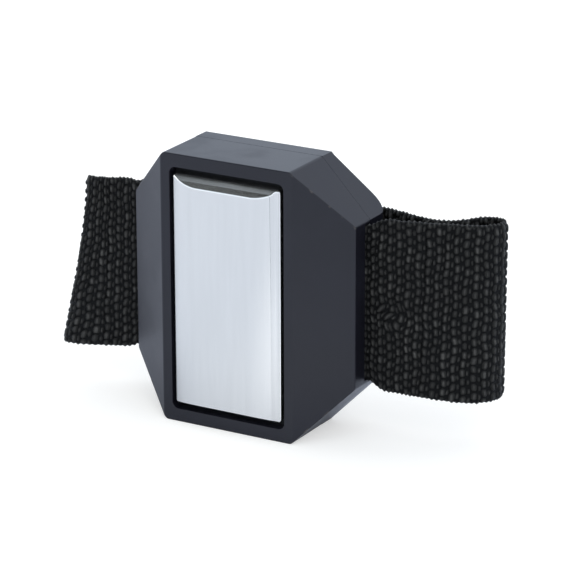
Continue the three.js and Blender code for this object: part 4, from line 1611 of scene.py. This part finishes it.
@dataclass
class Weave:
    """The coarse weave of the webbing as heights over its two faces."""

    column: float = 2.12
    row: float = 2.0
    float_size: tuple[float, float] = (0.58, 0.88)
    float_height: float = 0.46
    bit_size: tuple[float, float] = (0.29, 0.58)
    bit_height: float = 0.42
    ground: float = 0.44
    selvedge: float = 0.34
    crease_length: float = 0.0
    crease_height: float = -2.0
    crease_size: tuple[float, float] = (4.4, 3.8)
    crease_swirl: float = 1.1
    size_spread: float = 0.16
    rise_spread: float = 0.16
    lean_spread: float = 0.24
    wander: float = 0.14
    tone_low: float = 0.45

    @staticmethod
    def chance(column: np.ndarray, row: np.ndarray, seed: float) -> np.ndarray:
        """Gives a repeatable number from 0 to 1 for each float."""
        mixed = np.sin(column * 127.1 + row * 311.7 + seed * 74.7) * 43758.5453
        return mixed - np.floor(mixed)

    @staticmethod
    def mound(beside: np.ndarray, lengthwise: np.ndarray) -> np.ndarray:
        """Gives a mound that is round from side to side and flatter lengthwise, from -1 to 1."""
        spread = beside ** 2 + lengthwise ** 4
        return np.sqrt(np.clip(1.0 - spread, 0.0, 1.0))

    def disorder(self, along: np.ndarray, height: np.ndarray) -> tuple[np.ndarray, np.ndarray]:
        """Lets the weave waver, most where the strap is bunched beside the right slot.

        Args:
            along: lengths along the strap.
            height: heights across it.

        Returns:
            How far the pattern is moved along and across.
        """
        near = np.exp(-((along - self.crease_length) / self.crease_size[0]) ** 2
                      - ((height - self.crease_height) / self.crease_size[1]) ** 2)
        swirl = near * self.crease_swirl
        waver_along = 0.15 * np.sin(0.71 * height + 0.23 * along) + 0.1 * np.sin(
            0.37 * height - 0.9 * along)
        waver_height = 0.26 * np.sin(0.47 * along + 1.3) + 0.15 * np.sin(
            0.83 * along + 0.21 * height)
        return (swirl * np.sin(0.7 * height + 0.4 * along) + waver_along,
                swirl * np.cos(0.8 * along - 0.3 * height) + waver_height)

    def heights(self, along: np.ndarray, height: np.ndarray, back: bool,
                seed: float) -> tuple[np.ndarray, np.ndarray]:
        """Gives the weave's height and tone over one face.

        Args:
            along: lengths along the strap.
            height: heights across it.
            back: whether this is the face towards the wrist.
            seed: picks the small irregularities.

        Returns:
            The height from 0 to 1 of a float's, and a tone from 0 to 1.
        """
        moved_along, moved_height = self.disorder(along, height)
        along = along + moved_along
        height = height + moved_height
        if back:
            along = along + 0.5 * self.column
            height = height + 0.5 * self.row
        column = np.floor(along / self.column)
        rows = height / self.row + 0.5 * np.mod(column, 2.0)
        row = np.floor(rows)
        first, second = self.chance(column, row, seed), self.chance(column, row, seed + 3.0)
        at_column = (along / self.column - column) * self.column
        at_row = (rows - row) * self.row - self.row / 2
        size = 1.0 + self.size_spread * (first - 0.5)
        lean = self.lean_spread * (second - 0.5)
        middle = 0.34 * self.column + self.wander * (second - 0.5)
        big = self.mound(
            (at_column - middle + lean * at_row) / (self.float_size[0] * size),
            (at_row + 0.12 * (first - 0.5)) / (self.float_size[1] * size))
        small = self.mound((at_column - 0.83 * self.column) / (self.bit_size[0] * size),
                           at_row / (self.bit_size[1] * size))
        height = np.maximum(big * (0.92 + self.rise_spread * (first - 0.5)),
                            small * (self.bit_height / self.float_height))
        return height, self.tone_low + (1 - self.tone_low) * second


@dataclass(frozen=True)
class StrapPiece:
    """One length of the strap: what it replaces, what it rests on, and its bodies.

    It rides on its one body, or bends from the first to the second between two places of the
    plan.
    """

    name: str
    nodes: tuple[str, ...]
    rests_on: str
    bodies: tuple[str, ...]
    bend: tuple[tuple[float, float], ...] = ()
    folded: bool = False
    hidden: bool = False


@dataclass
class Strap:
    """The woven strap in lengths that ride on the bodies or bend between them."""

    route: StrapRoute = field(default_factory=StrapRoute)
    weave: Weave = field(default_factory=Weave)
    step_along: float = 0.23
    step_across: float = 0.2
    coarse_step: float = 0.6
    edge_degrees: tuple[float, ...] = (-54.0, -18.0, 18.0, 54.0)
    bow_depth: float = 0.8
    bow_tilt: float = 0.5
    bow_span: tuple[float, float] = (-31.0, -42.0)
    crease_x: float = 33.5
    flat_rim: float = 1.2
    hem: float = 0.9
    pieces: tuple[StrapPiece, ...] = (
        StrapPiece("strap_inner_layer", (), "strap_left_fold", ("left_tail",)),
        StrapPiece("strap_left_fold", ("strap_left_tail",), "rear_cover_moulding",
                   ("left_loop", "left_tail"), ((-41.5, 14.9), (-37.53, 21.52)), folded=True),
        StrapPiece("strap_left_root", ("strap_left_loop",), "front_shell_moulding",
                   ("housing", "left_loop"), ((-28.0, 12.8), (-33.0, 12.8))),
        StrapPiece("strap_through_housing", ("strap_core",), "front_shell_moulding",
                   ("housing",), hidden=True),
        StrapPiece("strap_right_root", ("strap_right_loop",), "front_shell_moulding",
                   ("housing", "right_loop"), ((28.0, 12.8), (33.0, 12.8))),
        StrapPiece("strap_right_fold", ("strap_right_tail",), "rear_cover_moulding",
                   ("right_loop", "right_tail"), ((48.86, 25.4), (46.37, 27.64)), folded=True),
        StrapPiece("strap_outer_layer", ("strap_peel_tab",), "loop_tape_patch",
                   ("right_tail", "peel_tab"), ((3.0, 28.8), (-1.5, 28.8))),
    )

    def __post_init__(self) -> None:
        """Finds the places where the strap is divided, each in a groove of the weave."""
        route, column = self.route, self.weave.column
        fold = int(np.argmax((route.lower[:, 0] + route.upper[:, 0]) / 2))

        def groove(x: float, after: float, falling: bool = False) -> float:
            """Gives the groove nearest to where the strap passes an x."""
            return round(route.place_of(x, after, falling) / column) * column

        inner_bend = groove(-21.0, 0.0, falling=True)
        left_front = groove(-38.5, inner_bend + 30.0)
        left_slot = groove(-26.2, inner_bend + 20.0)
        after_slot = route.place_of(0.0, left_slot)
        right_slot = groove(25.8, after_slot)
        right_front = groove(40.5, after_slot)
        tail_middle = groove(22.0, float(route.places[fold]), falling=True)
        self.weave.crease_length = route.place_of(self.crease_x, after_slot)
        self.cuts = (0.0, inner_bend, left_front, left_slot, right_slot, right_front,
                     tail_middle, route.length)

    def section(self) -> tuple[np.ndarray, np.ndarray, np.ndarray]:
        """Gives the points round one cross-section.

        Returns:
            For each point its height across, its depth from -1 on the outer face to 1 on the
            inner one, and how much of the weave's lift it takes.
        """
        turn = self.weave.ground
        half = self.route.width / 2 - turn
        rows = int(round(2 * half / self.step_across))
        heights, flat = np.linspace(-half, half, rows + 1), np.ones(rows + 1)
        arc = np.radians(self.edge_degrees)
        around = half + turn * np.cos(arc)
        edge = np.zeros(len(arc))
        return (np.concatenate((heights, around, heights[::-1], -around)),
                np.concatenate((-flat, np.sin(arc), flat, -np.sin(arc))),
                np.concatenate((flat, edge, flat, edge)))

    def bow(self, x: np.ndarray, across: np.ndarray) -> np.ndarray:
        """Gives how far the left fold is drawn in between its two edges.

        Args:
            x: drawn places across the wristband.
            across: places across the strap, from -1 at its lower edge to 1 at its upper one.

        Returns:
            A distance in millimetres for each.
        """
        start, full = self.bow_span
        share = np.clip((x - start) / (full - start), 0.0, 1.0)
        return self.bow_depth * share * (1 - across ** 2) * (1 + self.bow_tilt * across)

    def length_mesh(self, name: str, start: float, end: float, step: float) -> bpy.types.Object:
        """Weaves one length of the strap as a closed mesh.

        Args:
            name: the piece's name.
            start: where it starts along the strap.
            end: where it ends.
            step: how far apart its rings of points are.

        Returns:
            The new object.
        """
        weave, half = self.weave, self.route.width / 2
        across, depth, share = self.section()
        rings = max(2, round((end - start) / step))
        along = np.linspace(start, end, rings + 1)
        low, high, low_side, high_side = self.route.frames(along)
        grid_along = np.repeat(along[:, None], len(across), axis=1)
        grid_across = np.repeat(across[None, :], len(along), axis=0)
        wave = 0.5 - 0.5 * np.cos(2 * math.pi * grid_along / (weave.column / 2))
        lift, tone = wave.copy(), np.ones_like(wave)
        for back, mask in ((False, depth <= -0.999), (True, depth >= 0.999)):
            lift[:, mask], tone[:, mask] = weave.heights(
                grid_along[:, mask], grid_across[:, mask], back, 1.0 + back)
        fade = np.clip((half - np.abs(across)) / self.flat_rim, 0.0, 1.0)
        fade = fade * fade * (3 - 2 * fade)
        hem = np.clip(np.abs(across) - (half - self.hem), 0.0, self.hem) / self.hem
        turns = np.floor(grid_along / (weave.column / 2))
        uneven = 0.45 + 0.75 * weave.chance(turns, np.sign(across)[None, :], 8.0)
        swell = weave.selvedge * uneven * hem[None, :] * wave
        place = (0.5 + across / self.route.width)[None, :]

        def between(lower: np.ndarray, upper: np.ndarray) -> np.ndarray:
            """Gives places from the lower edge to the upper, for each point of each ring."""
            return (lower[:, None, :] * (1 - place)[:, :, None]
                    + upper[:, None, :] * place[:, :, None])

        points, sides = between(low, high), between(low_side, high_side)
        sides /= np.linalg.norm(sides, axis=2)[:, :, None]
        points += sides * self.bow(points[:, :, 0], 2 * place - 1)[:, :, None]
        upward = high - low
        upward /= np.linalg.norm(upward, axis=1)[:, None]
        raised = weave.float_height * lift * (np.sign(depth) * (share > 0.5))[None, :]
        reach = weave.ground * depth[None, :] + raised * (0.45 + 0.55 * fade[None, :])
        points = points + sides * reach[:, :, None]
        points += upward[:, None, :] * (np.sign(across)[None, :] * swell)[:, :, None]
        skin, caps = self.section_faces(rings, len(across))
        obj = mesh_object(name, points.reshape(-1, 3), np.concatenate((skin, caps)))
        smooth = np.arange(len(skin) + len(caps)) < len(skin)
        obj.data.polygons.foreach_set("use_smooth", smooth)
        write_values(obj, "lift", lift)
        write_values(obj, "tone", tone)
        moved_along, moved_height = weave.disorder(grid_along, grid_across)
        write_run(obj, grid_along + moved_along, grid_across + moved_height)
        return obj

    def section_faces(self, rings: int, around: int) -> tuple[np.ndarray, np.ndarray]:
        """Joins the rings of points into faces and closes both ends.

        Args:
            rings: how many steps there are between rings.
            around: how many points a ring has.

        Returns:
            Point numbers, four to a face, facing out: first the skin, then the two ends.
        """
        first = np.arange(rings)[:, None] * around + np.arange(around)[None, :]
        beside = np.arange(rings)[:, None] * around + (np.arange(around)[None, :] + 1) % around
        skin = np.stack((first, first + around, beside + around, beside), axis=-1).reshape(-1, 4)
        count = (around - 2 * len(self.edge_degrees) - 2) // 2
        low = around - len(self.edge_degrees) - 1
        outer = np.arange(count)
        band = np.stack((outer, outer + 1, low - outer - 1, low - outer), axis=-1)
        edges = np.array((
            (count, count + 1, count + 4, count + 5),
            (count + 1, count + 2, count + 3, count + 4),
            (low, low + 1, low + 4, 0),
            (low + 1, low + 2, low + 3, low + 4),
        ))
        end = np.concatenate((band, edges))
        return skin, np.concatenate((end, end[:, ::-1] + rings * around))

    def build(self, wardrobe: Wardrobe) -> None:
        """Weaves, dresses and mounts every length of the strap.

        Args:
            wardrobe: the finishes.
        """
        for piece, start, end in zip(self.pieces, self.cuts[:-1], self.cuts[1:], strict=True):
            step = self.coarse_step if piece.hidden else self.step_along
            obj = self.length_mesh(piece.name, start, end, step)
            wardrobe.dress(obj, "black_webbing", None if piece.bend else piece.bodies[0],
                           *piece.nodes)
            if piece.bend:
                first, last = (tuple(row_point(*place, 0.0)) for place in piece.bend)
                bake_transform(obj, *piece.bodies, start=first, end=last)


@dataclass
class Closure:
    """The hook and loop patches sewn to the strap, and the thread that holds them."""

    half_width: float = 17.0
    drop: float = 0.6
    tape: float = 0.55
    tape_cuts: int = 40
    tape_rounding: float = 0.12
    loop_span: tuple[float, float] = (-22.5, 2.5)
    loop_front: float = 25.0
    loop_count: int = 900
    loop_steps: tuple[int, int] = (6, 3)
    loop_margin: float = 0.6
    loop_thread: float = 0.045
    hook_span: tuple[float, float] = (-22.7, -1.7)
    hook_back: float = 27.7
    hook_margin: float = 1.0
    hook_half: tuple[float, float] = (0.13, 0.1)
    hook_slim: tuple[float, ...] = (1.0, 0.8, 0.65, 0.5, 0.35)
    thickness: float = 1.2
    hook_pitch: float = 1.35
    stitch_depth: float = 29.66
    stitch_inset: tuple[float, float] = (1.4, 1.6)
    stitch_steps: tuple[int, int] = (6, 6)
    stitch_length: float = 1.7
    stitch_gap: float = 0.7
    stitch_sink: float = 0.28
    thread: float = 0.17

    def tape_mesh(self, name: str, span: tuple[float, float], near: float, far: float,
                  nap: float) -> bpy.types.Object:
        """Models a tape with softly uneven faces.

        Args:
            name: the piece's name.
            span: its ends across.
            near: its front face's depth.
            far: its rear face's depth.
            nap: how deep its surface is ruffled.

        Returns:
            The tape.
        """
        tape = start_block(name, (span[0], near, -self.half_width - self.drop),
                           (span[1], far, self.half_width - self.drop))
        with editing(tape, whole=True):
            bpy.ops.mesh.subdivide(number_cuts=self.tape_cuts)
        round_edges(tape, lambda place, way, angle: angle > SQUARE, self.tape_rounding, 2)
        rng = np.random.default_rng(11)
        moves = rng.uniform(-0.5, 0.5, len(tape.data.vertices)) * nap * MILLIMETRE
        for corner, move in zip(tape.data.vertices, moves, strict=True):
            corner.co.y += move
        self.plain_run(tape)
        smooth_shading(tape, 60.0)
        return tape

    @staticmethod
    def plain_run(obj: bpy.types.Object) -> None:
        """Stores a flat run, full lift and tone on a tape or thread for the yarn finish."""
        places = np.array([tuple(drawn_place(v.co)) for v in obj.data.vertices])
        write_values(obj, "lift", np.full(len(places), 0.7))
        write_values(obj, "tone", Weave.chance(np.round(places[:, 0] * 3),
                                               np.round(places[:, 2] * 3), 5.0))
        write_run(obj, places[:, 0], places[:, 2])

    def thread_object(self, name: str, points: Sequence[Point], faces: Sequence[Sequence[int]],
                      close: bool = False) -> bpy.types.Object:
        """Makes hooks, loops or stitches into an object that takes the yarn finish.

        Args:
            name: the piece's name.
            points: drawn places.
            faces: four point numbers for each face.
            close: fills open ends.

        Returns:
            The object.
        """
        obj = mesh_object(name, points, faces)
        face_outwards(obj, close)
        self.plain_run(obj)
        return obj

    def hooks(self) -> bpy.types.Object:
        """Models one small bent hook and repeats it over the hook tape.

        Returns:
            All the hooks as one object.
        """
        foot = self.hook_back - self.tape
        tip = self.hook_back - self.thickness
        wide, deep = self.hook_half
        section = np.array(((-wide, -deep), (wide, -deep), (wide, deep), (-wide, deep)))
        path = ((0.0, foot + 0.05), (0.0, foot - 0.3), (0.08, tip + 0.12), (0.24, tip + 0.02),
                (0.38, tip + 0.14))
        left, right = self.hook_span
        bottom, top = -self.half_width - self.drop, self.half_width - self.drop
        rows = int((2 * self.half_width - 2 * self.hook_margin) / self.hook_pitch)
        columns = int((right - left - 2 * self.hook_margin) / self.hook_pitch)
        points, faces = [], []
        for row, column in product(range(rows + 1), range(columns + 1)):
            x = left + self.hook_margin + column * self.hook_pitch
            z = bottom + self.hook_margin + (row + 0.5 * (column % 2)) * self.hook_pitch
            if z > top - 0.8:
                continue
            base = len(points)
            flip = -1.0 if row % 2 else 1.0
            for (lean, depth), share in zip(path, self.hook_slim, strict=True):
                for off_x, off_z in section * share:
                    points.append((x + flip * lean + off_x, depth, z + off_z))
            faces += tube_faces(base, len(path) - 1, len(section))
            last = len(points) - len(section)
            faces += [(base + 3, base + 2, base + 1, base), (last, last + 1, last + 2, last + 3)]
        return self.thread_object("hook_tape_hooks", points, faces)

    def loops(self) -> bpy.types.Object:
        """Models the napped loops as small arches scattered over the loop tape.

        Returns:
            All the loops as one object.
        """
        rng = np.random.default_rng(7)
        depth = self.loop_front + self.tape
        margin, reach = self.loop_margin, self.half_width - self.loop_margin
        steps, sides = self.loop_steps
        points, faces = [], []
        for _ in range(self.loop_count):
            x = rng.uniform(self.loop_span[0] + margin, self.loop_span[1] - margin)
            z = rng.uniform(-reach, reach) - self.drop
            turn = rng.uniform(0.0, math.pi)
            radius = rng.uniform(0.3, 0.5)
            high = rng.uniform(0.25, 0.5)
            faces += tube_faces(len(points), steps, sides)
            for step, side in product(range(steps + 1), range(sides)):
                angle, wrap = math.pi * step / steps, 2 * math.pi * side / sides
                thick = self.loop_thread * math.cos(wrap)
                out = radius * math.cos(angle) + thick * math.cos(angle)
                up = high * math.sin(angle) + thick * math.sin(angle)
                off = self.loop_thread * math.sin(wrap)
                points.append((x + out * math.cos(turn) - off * math.sin(turn),
                               depth + up - 0.05,
                               z + out * math.sin(turn) + off * math.cos(turn)))
        return self.thread_object("loop_tape_nap", points, faces, close=True)

    def seam_runs(self) -> list[tuple[Vector, Vector]]:
        """Gives the straight runs of the box stitch on the tab's outer face."""
        inset_x, inset_z = self.stitch_inset
        left, right = self.hook_span[0] + inset_x, self.hook_span[1] - inset_x
        low = -self.half_width - self.drop + inset_z
        high = self.half_width - self.drop - inset_z
        corners = [Vector((x, self.stitch_depth, z))
                   for x, z in ((left, low), (right, low), (right, high), (left, high))]
        return [(corners[first], corners[second])
                for first, second in ((0, 1), (1, 2), (2, 3), (3, 0), (0, 2), (1, 3))]

    def stitching(self) -> bpy.types.Object:
        """Models one stitch and lays copies of it along the box stitch.

        Returns:
            The thread as one object.
        """
        steps, sides = self.stitch_steps
        points, faces = [], []
        for start, end in self.seam_runs():
            way = (end - start).normalized()
            length = (end - start).length
            count = max(1, int(length / (self.stitch_length + self.stitch_gap)))
            beside = way.cross(Vector((0.0, 1.0, 0.0))).normalized()
            for index in range(count):
                at = start + way * (index + 0.5) * length / count
                base = len(points)
                for ring in range(steps + 1):
                    share = ring / steps * 2 - 1
                    slim = math.sqrt(max(0.0, 1 - share ** 4)) * self.thread + 0.02
                    middle = at + way * share * self.stitch_length / 2
                    middle = middle + Vector((0.0, -self.stitch_sink * abs(share) ** 3, 0.0))
                    for side in range(sides):
                        wrap = 2 * math.pi * side / sides
                        spot = middle + beside * slim * math.cos(wrap)
                        points.append(tuple(spot + Vector((0.0, slim * math.sin(wrap), 0.0))))
                faces += tube_faces(base, steps, sides)
                for cap in (base, base + steps * sides):
                    faces += [(cap, cap + 1, cap + 2, cap + 3), (cap, cap + 3, cap + 4, cap + 5)]
        return self.thread_object("tab_box_stitch", points, faces)

    def build(self, wardrobe: Wardrobe) -> None:
        """Models, dresses and mounts the closure.

        Args:
            wardrobe: the finishes.
        """
        hook_tape = self.tape_mesh("hook_tape_patch", self.hook_span,
                                   self.hook_back - self.tape, self.hook_back, 0.02)
        hooks = self.hooks()
        loop_tape = self.tape_mesh("loop_tape_patch", self.loop_span, self.loop_front,
                                   self.loop_front + self.tape + 0.1, 0.1)
        nap = self.loops()
        thread = self.stitching()
        wardrobe.dress(hook_tape, "hook_tape", "peel_tab", "hook_patch")
        wardrobe.dress(hooks, "hook_tape", "peel_tab")
        wardrobe.dress(loop_tape, "loop_tape", "left_tail", "loop_patch")
        wardrobe.dress(nap, "loop_tape", "left_tail")
        wardrobe.dress(thread, "stitch_thread", "peel_tab")


# The studio.


@dataclass
class Studio:
    """A pale floor, soft lamps, a white surround and the camera at the picture's angle."""

    azimuth: float = 29.9296
    elevation: float = 18.9334
    roll: float = -0.1735
    distance: float = 717.466
    target: Point = (10.786, 8.0, 1.8965)
    lens: float = 206.05
    sensor: float = 36.0
    clip: tuple[float, float] = (0.01, 50.0)
    floor_half: float = 4.0
    floor_colour: Colour = (0.63, 0.6, 0.54)
    mirrored_floor: Colour = (0.95, 0.955, 1.0)
    floor_glow: float = 0.5
    glow_spot: Point = (0.04, -0.07, 0.0)
    glow_span: tuple[float, float] = (0.02, 0.085)
    mirror_glow: tuple[float, float] = (0.4, 0.04)
    sky: Colour = (1.02, 1.14, 1.33)
    back_sky: Colour = (1.08, 1.18, 1.38)
    back_patch: tuple[Point, float, float] = ((0.36, 0.82, 0.45), 0.72, 0.94)
    dim_sky: Colour = (0.04, 0.043, 0.04)
    dim_patch: tuple[Point, float, float] = ((-0.47, -0.42, 0.78), 0.89, 0.98)
    lamps: tuple[tuple[str, Point, float, float], ...] = (
        ("key_lamp", (0.9, -1.3, 1.2), 0.7, 6.0), ("side_lamp", (-1.7, -0.1, 0.5), 1.0, 9.0))

    def camera(self) -> None:
        """Makes the camera, turned about its view axis by the picture's small roll."""
        turn, lift = math.radians(self.azimuth), math.radians(self.elevation)
        back = Vector((math.sin(turn) * math.cos(lift), -math.cos(turn) * math.cos(lift),
                       math.sin(lift)))
        right = Vector((math.cos(turn), math.sin(turn), 0.0))
        up = back.cross(right)
        roll = math.radians(self.roll)
        across = right * math.cos(roll) + up * math.sin(roll)
        above = -right * math.sin(roll) + up * math.cos(roll)
        data = bpy.data.cameras.new("picture_camera")
        data.lens = self.lens
        data.sensor_width = self.sensor
        data.clip_start, data.clip_end = self.clip
        camera = bpy.data.objects.new("picture_camera", data)
        bpy.context.scene.collection.objects.link(camera)
        place = row_point(*self.target) + back * self.distance * MILLIMETRE
        turned = Matrix((across, above, back)).transposed().to_4x4()
        camera.matrix_world = Matrix.Translation(place) @ turned
        bpy.context.scene.camera = camera

    def floor(self) -> None:
        """Lays the floor, which shows white to the camera and keeps the object's shadow."""
        clear_selection()
        bpy.ops.mesh.primitive_plane_add(size=2 * self.floor_half, location=(0.0, 0.0, 0.0))
        floor = bpy.context.active_object
        floor.name = "studio_floor"
        material = bpy.data.materials.new("studio_floor")
        sheet = NodeSheet.of(material)
        path = sheet.add("ShaderNodeLightPath").outputs
        colour = sheet.tint(path["Is Glossy Ray"], self.floor_colour, self.mirrored_floor)
        body = sheet.add("ShaderNodeBsdfDiffuse", {"Color": colour})
        spot = sheet.add("ShaderNodeNewGeometry").outputs["Position"]
        away = sheet.add("ShaderNodeVectorMath", {0: spot, 1: self.glow_spot},
                         operation="DISTANCE").outputs["Value"]
        # A soft spot of floor in front glows for glossy rays only: a painted reflection that brightens the
        # steel face.
        card = sheet.maths("MULTIPLY", path["Is Glossy Ray"],
                           sheet.span(away, *self.glow_span, *self.mirror_glow))
        glow = sheet.maths("MULTIPLY_ADD", path["Is Camera Ray"], self.floor_glow, card)
        white = sheet.add("ShaderNodeEmission", {"Strength": glow})
        mixed = sheet.add("ShaderNodeAddShader", {0: body.outputs[0], 1: white.outputs[0]})
        sheet.add("ShaderNodeOutputMaterial", {"Surface": mixed.outputs[0]})
        floor.data.materials.append(material)

    def surround(self) -> None:
        """Sets the white world, dim high up in front and a little brighter behind."""
        world = bpy.data.worlds.new("studio_surround")
        bpy.context.scene.world = world
        sheet = NodeSheet.of(world)
        way = sheet.add("ShaderNodeTexCoord").outputs["Generated"]

        def patch(towards: Point, edge: float, full: float) -> bpy.types.NodeSocket:
            """Gives a mask that is 1 towards a direction and fades round it."""
            aim = tuple(Vector(towards).normalized())
            near = sheet.add("ShaderNodeVectorMath", {0: way, 1: aim}, operation="DOT_PRODUCT")
            return sheet.span(near.outputs["Value"], edge, full)

        lit = sheet.tint(patch(*self.back_patch), self.sky, self.back_sky)
        around = sheet.tint(patch(*self.dim_patch), lit, self.dim_sky)
        path = sheet.add("ShaderNodeLightPath")
        background = sheet.tint(path.outputs["Is Camera Ray"], around, (1.0, 1.0, 1.0))
        shine = sheet.add("ShaderNodeBackground", {"Color": background, "Strength": 1.0})
        sheet.add("ShaderNodeOutputWorld", {"Surface": shine.outputs[0]})

    def lamp(self, name: str, place: Point, size: float, power: float) -> None:
        """Hangs one soft square lamp that looks at the wristband.

        Args:
            name: the lamp's name.
            place: where it hangs, in metres.
            size: its side in metres.
            power: its power in watts.
        """
        data = bpy.data.lights.new(name, "AREA")
        data.shape = "SQUARE"
        data.size = size
        data.energy = power
        lamp = bpy.data.objects.new(name, data)
        bpy.context.scene.collection.objects.link(lamp)
        towards = row_point(0.0, 9.0, 0.0) - Vector(place)
        lamp.rotation_euler = towards.to_track_quat("-Z", "Y").to_euler()
        lamp.location = place

    def build(self) -> None:
        """Sets the studio up."""
        self.camera()
        self.floor()
        self.surround()
        for lamp in self.lamps:
            self.lamp(*lamp)
        bpy.context.scene.view_settings.view_transform = "Standard"


def main() -> None:
    """Builds the studio and the wristband, sub-assembly by sub-assembly."""
    logging.basicConfig(level=logging.INFO, format="%(name)s: %(message)s")
    Studio().build()
    wardrobe = Wardrobe()
    Housing().build(wardrobe)
    MagnetPack().build(wardrobe)
    Strap().build(wardrobe)
    Closure().build(wardrobe)
    clear_selection()


if __name__ == "__main__":
    main()
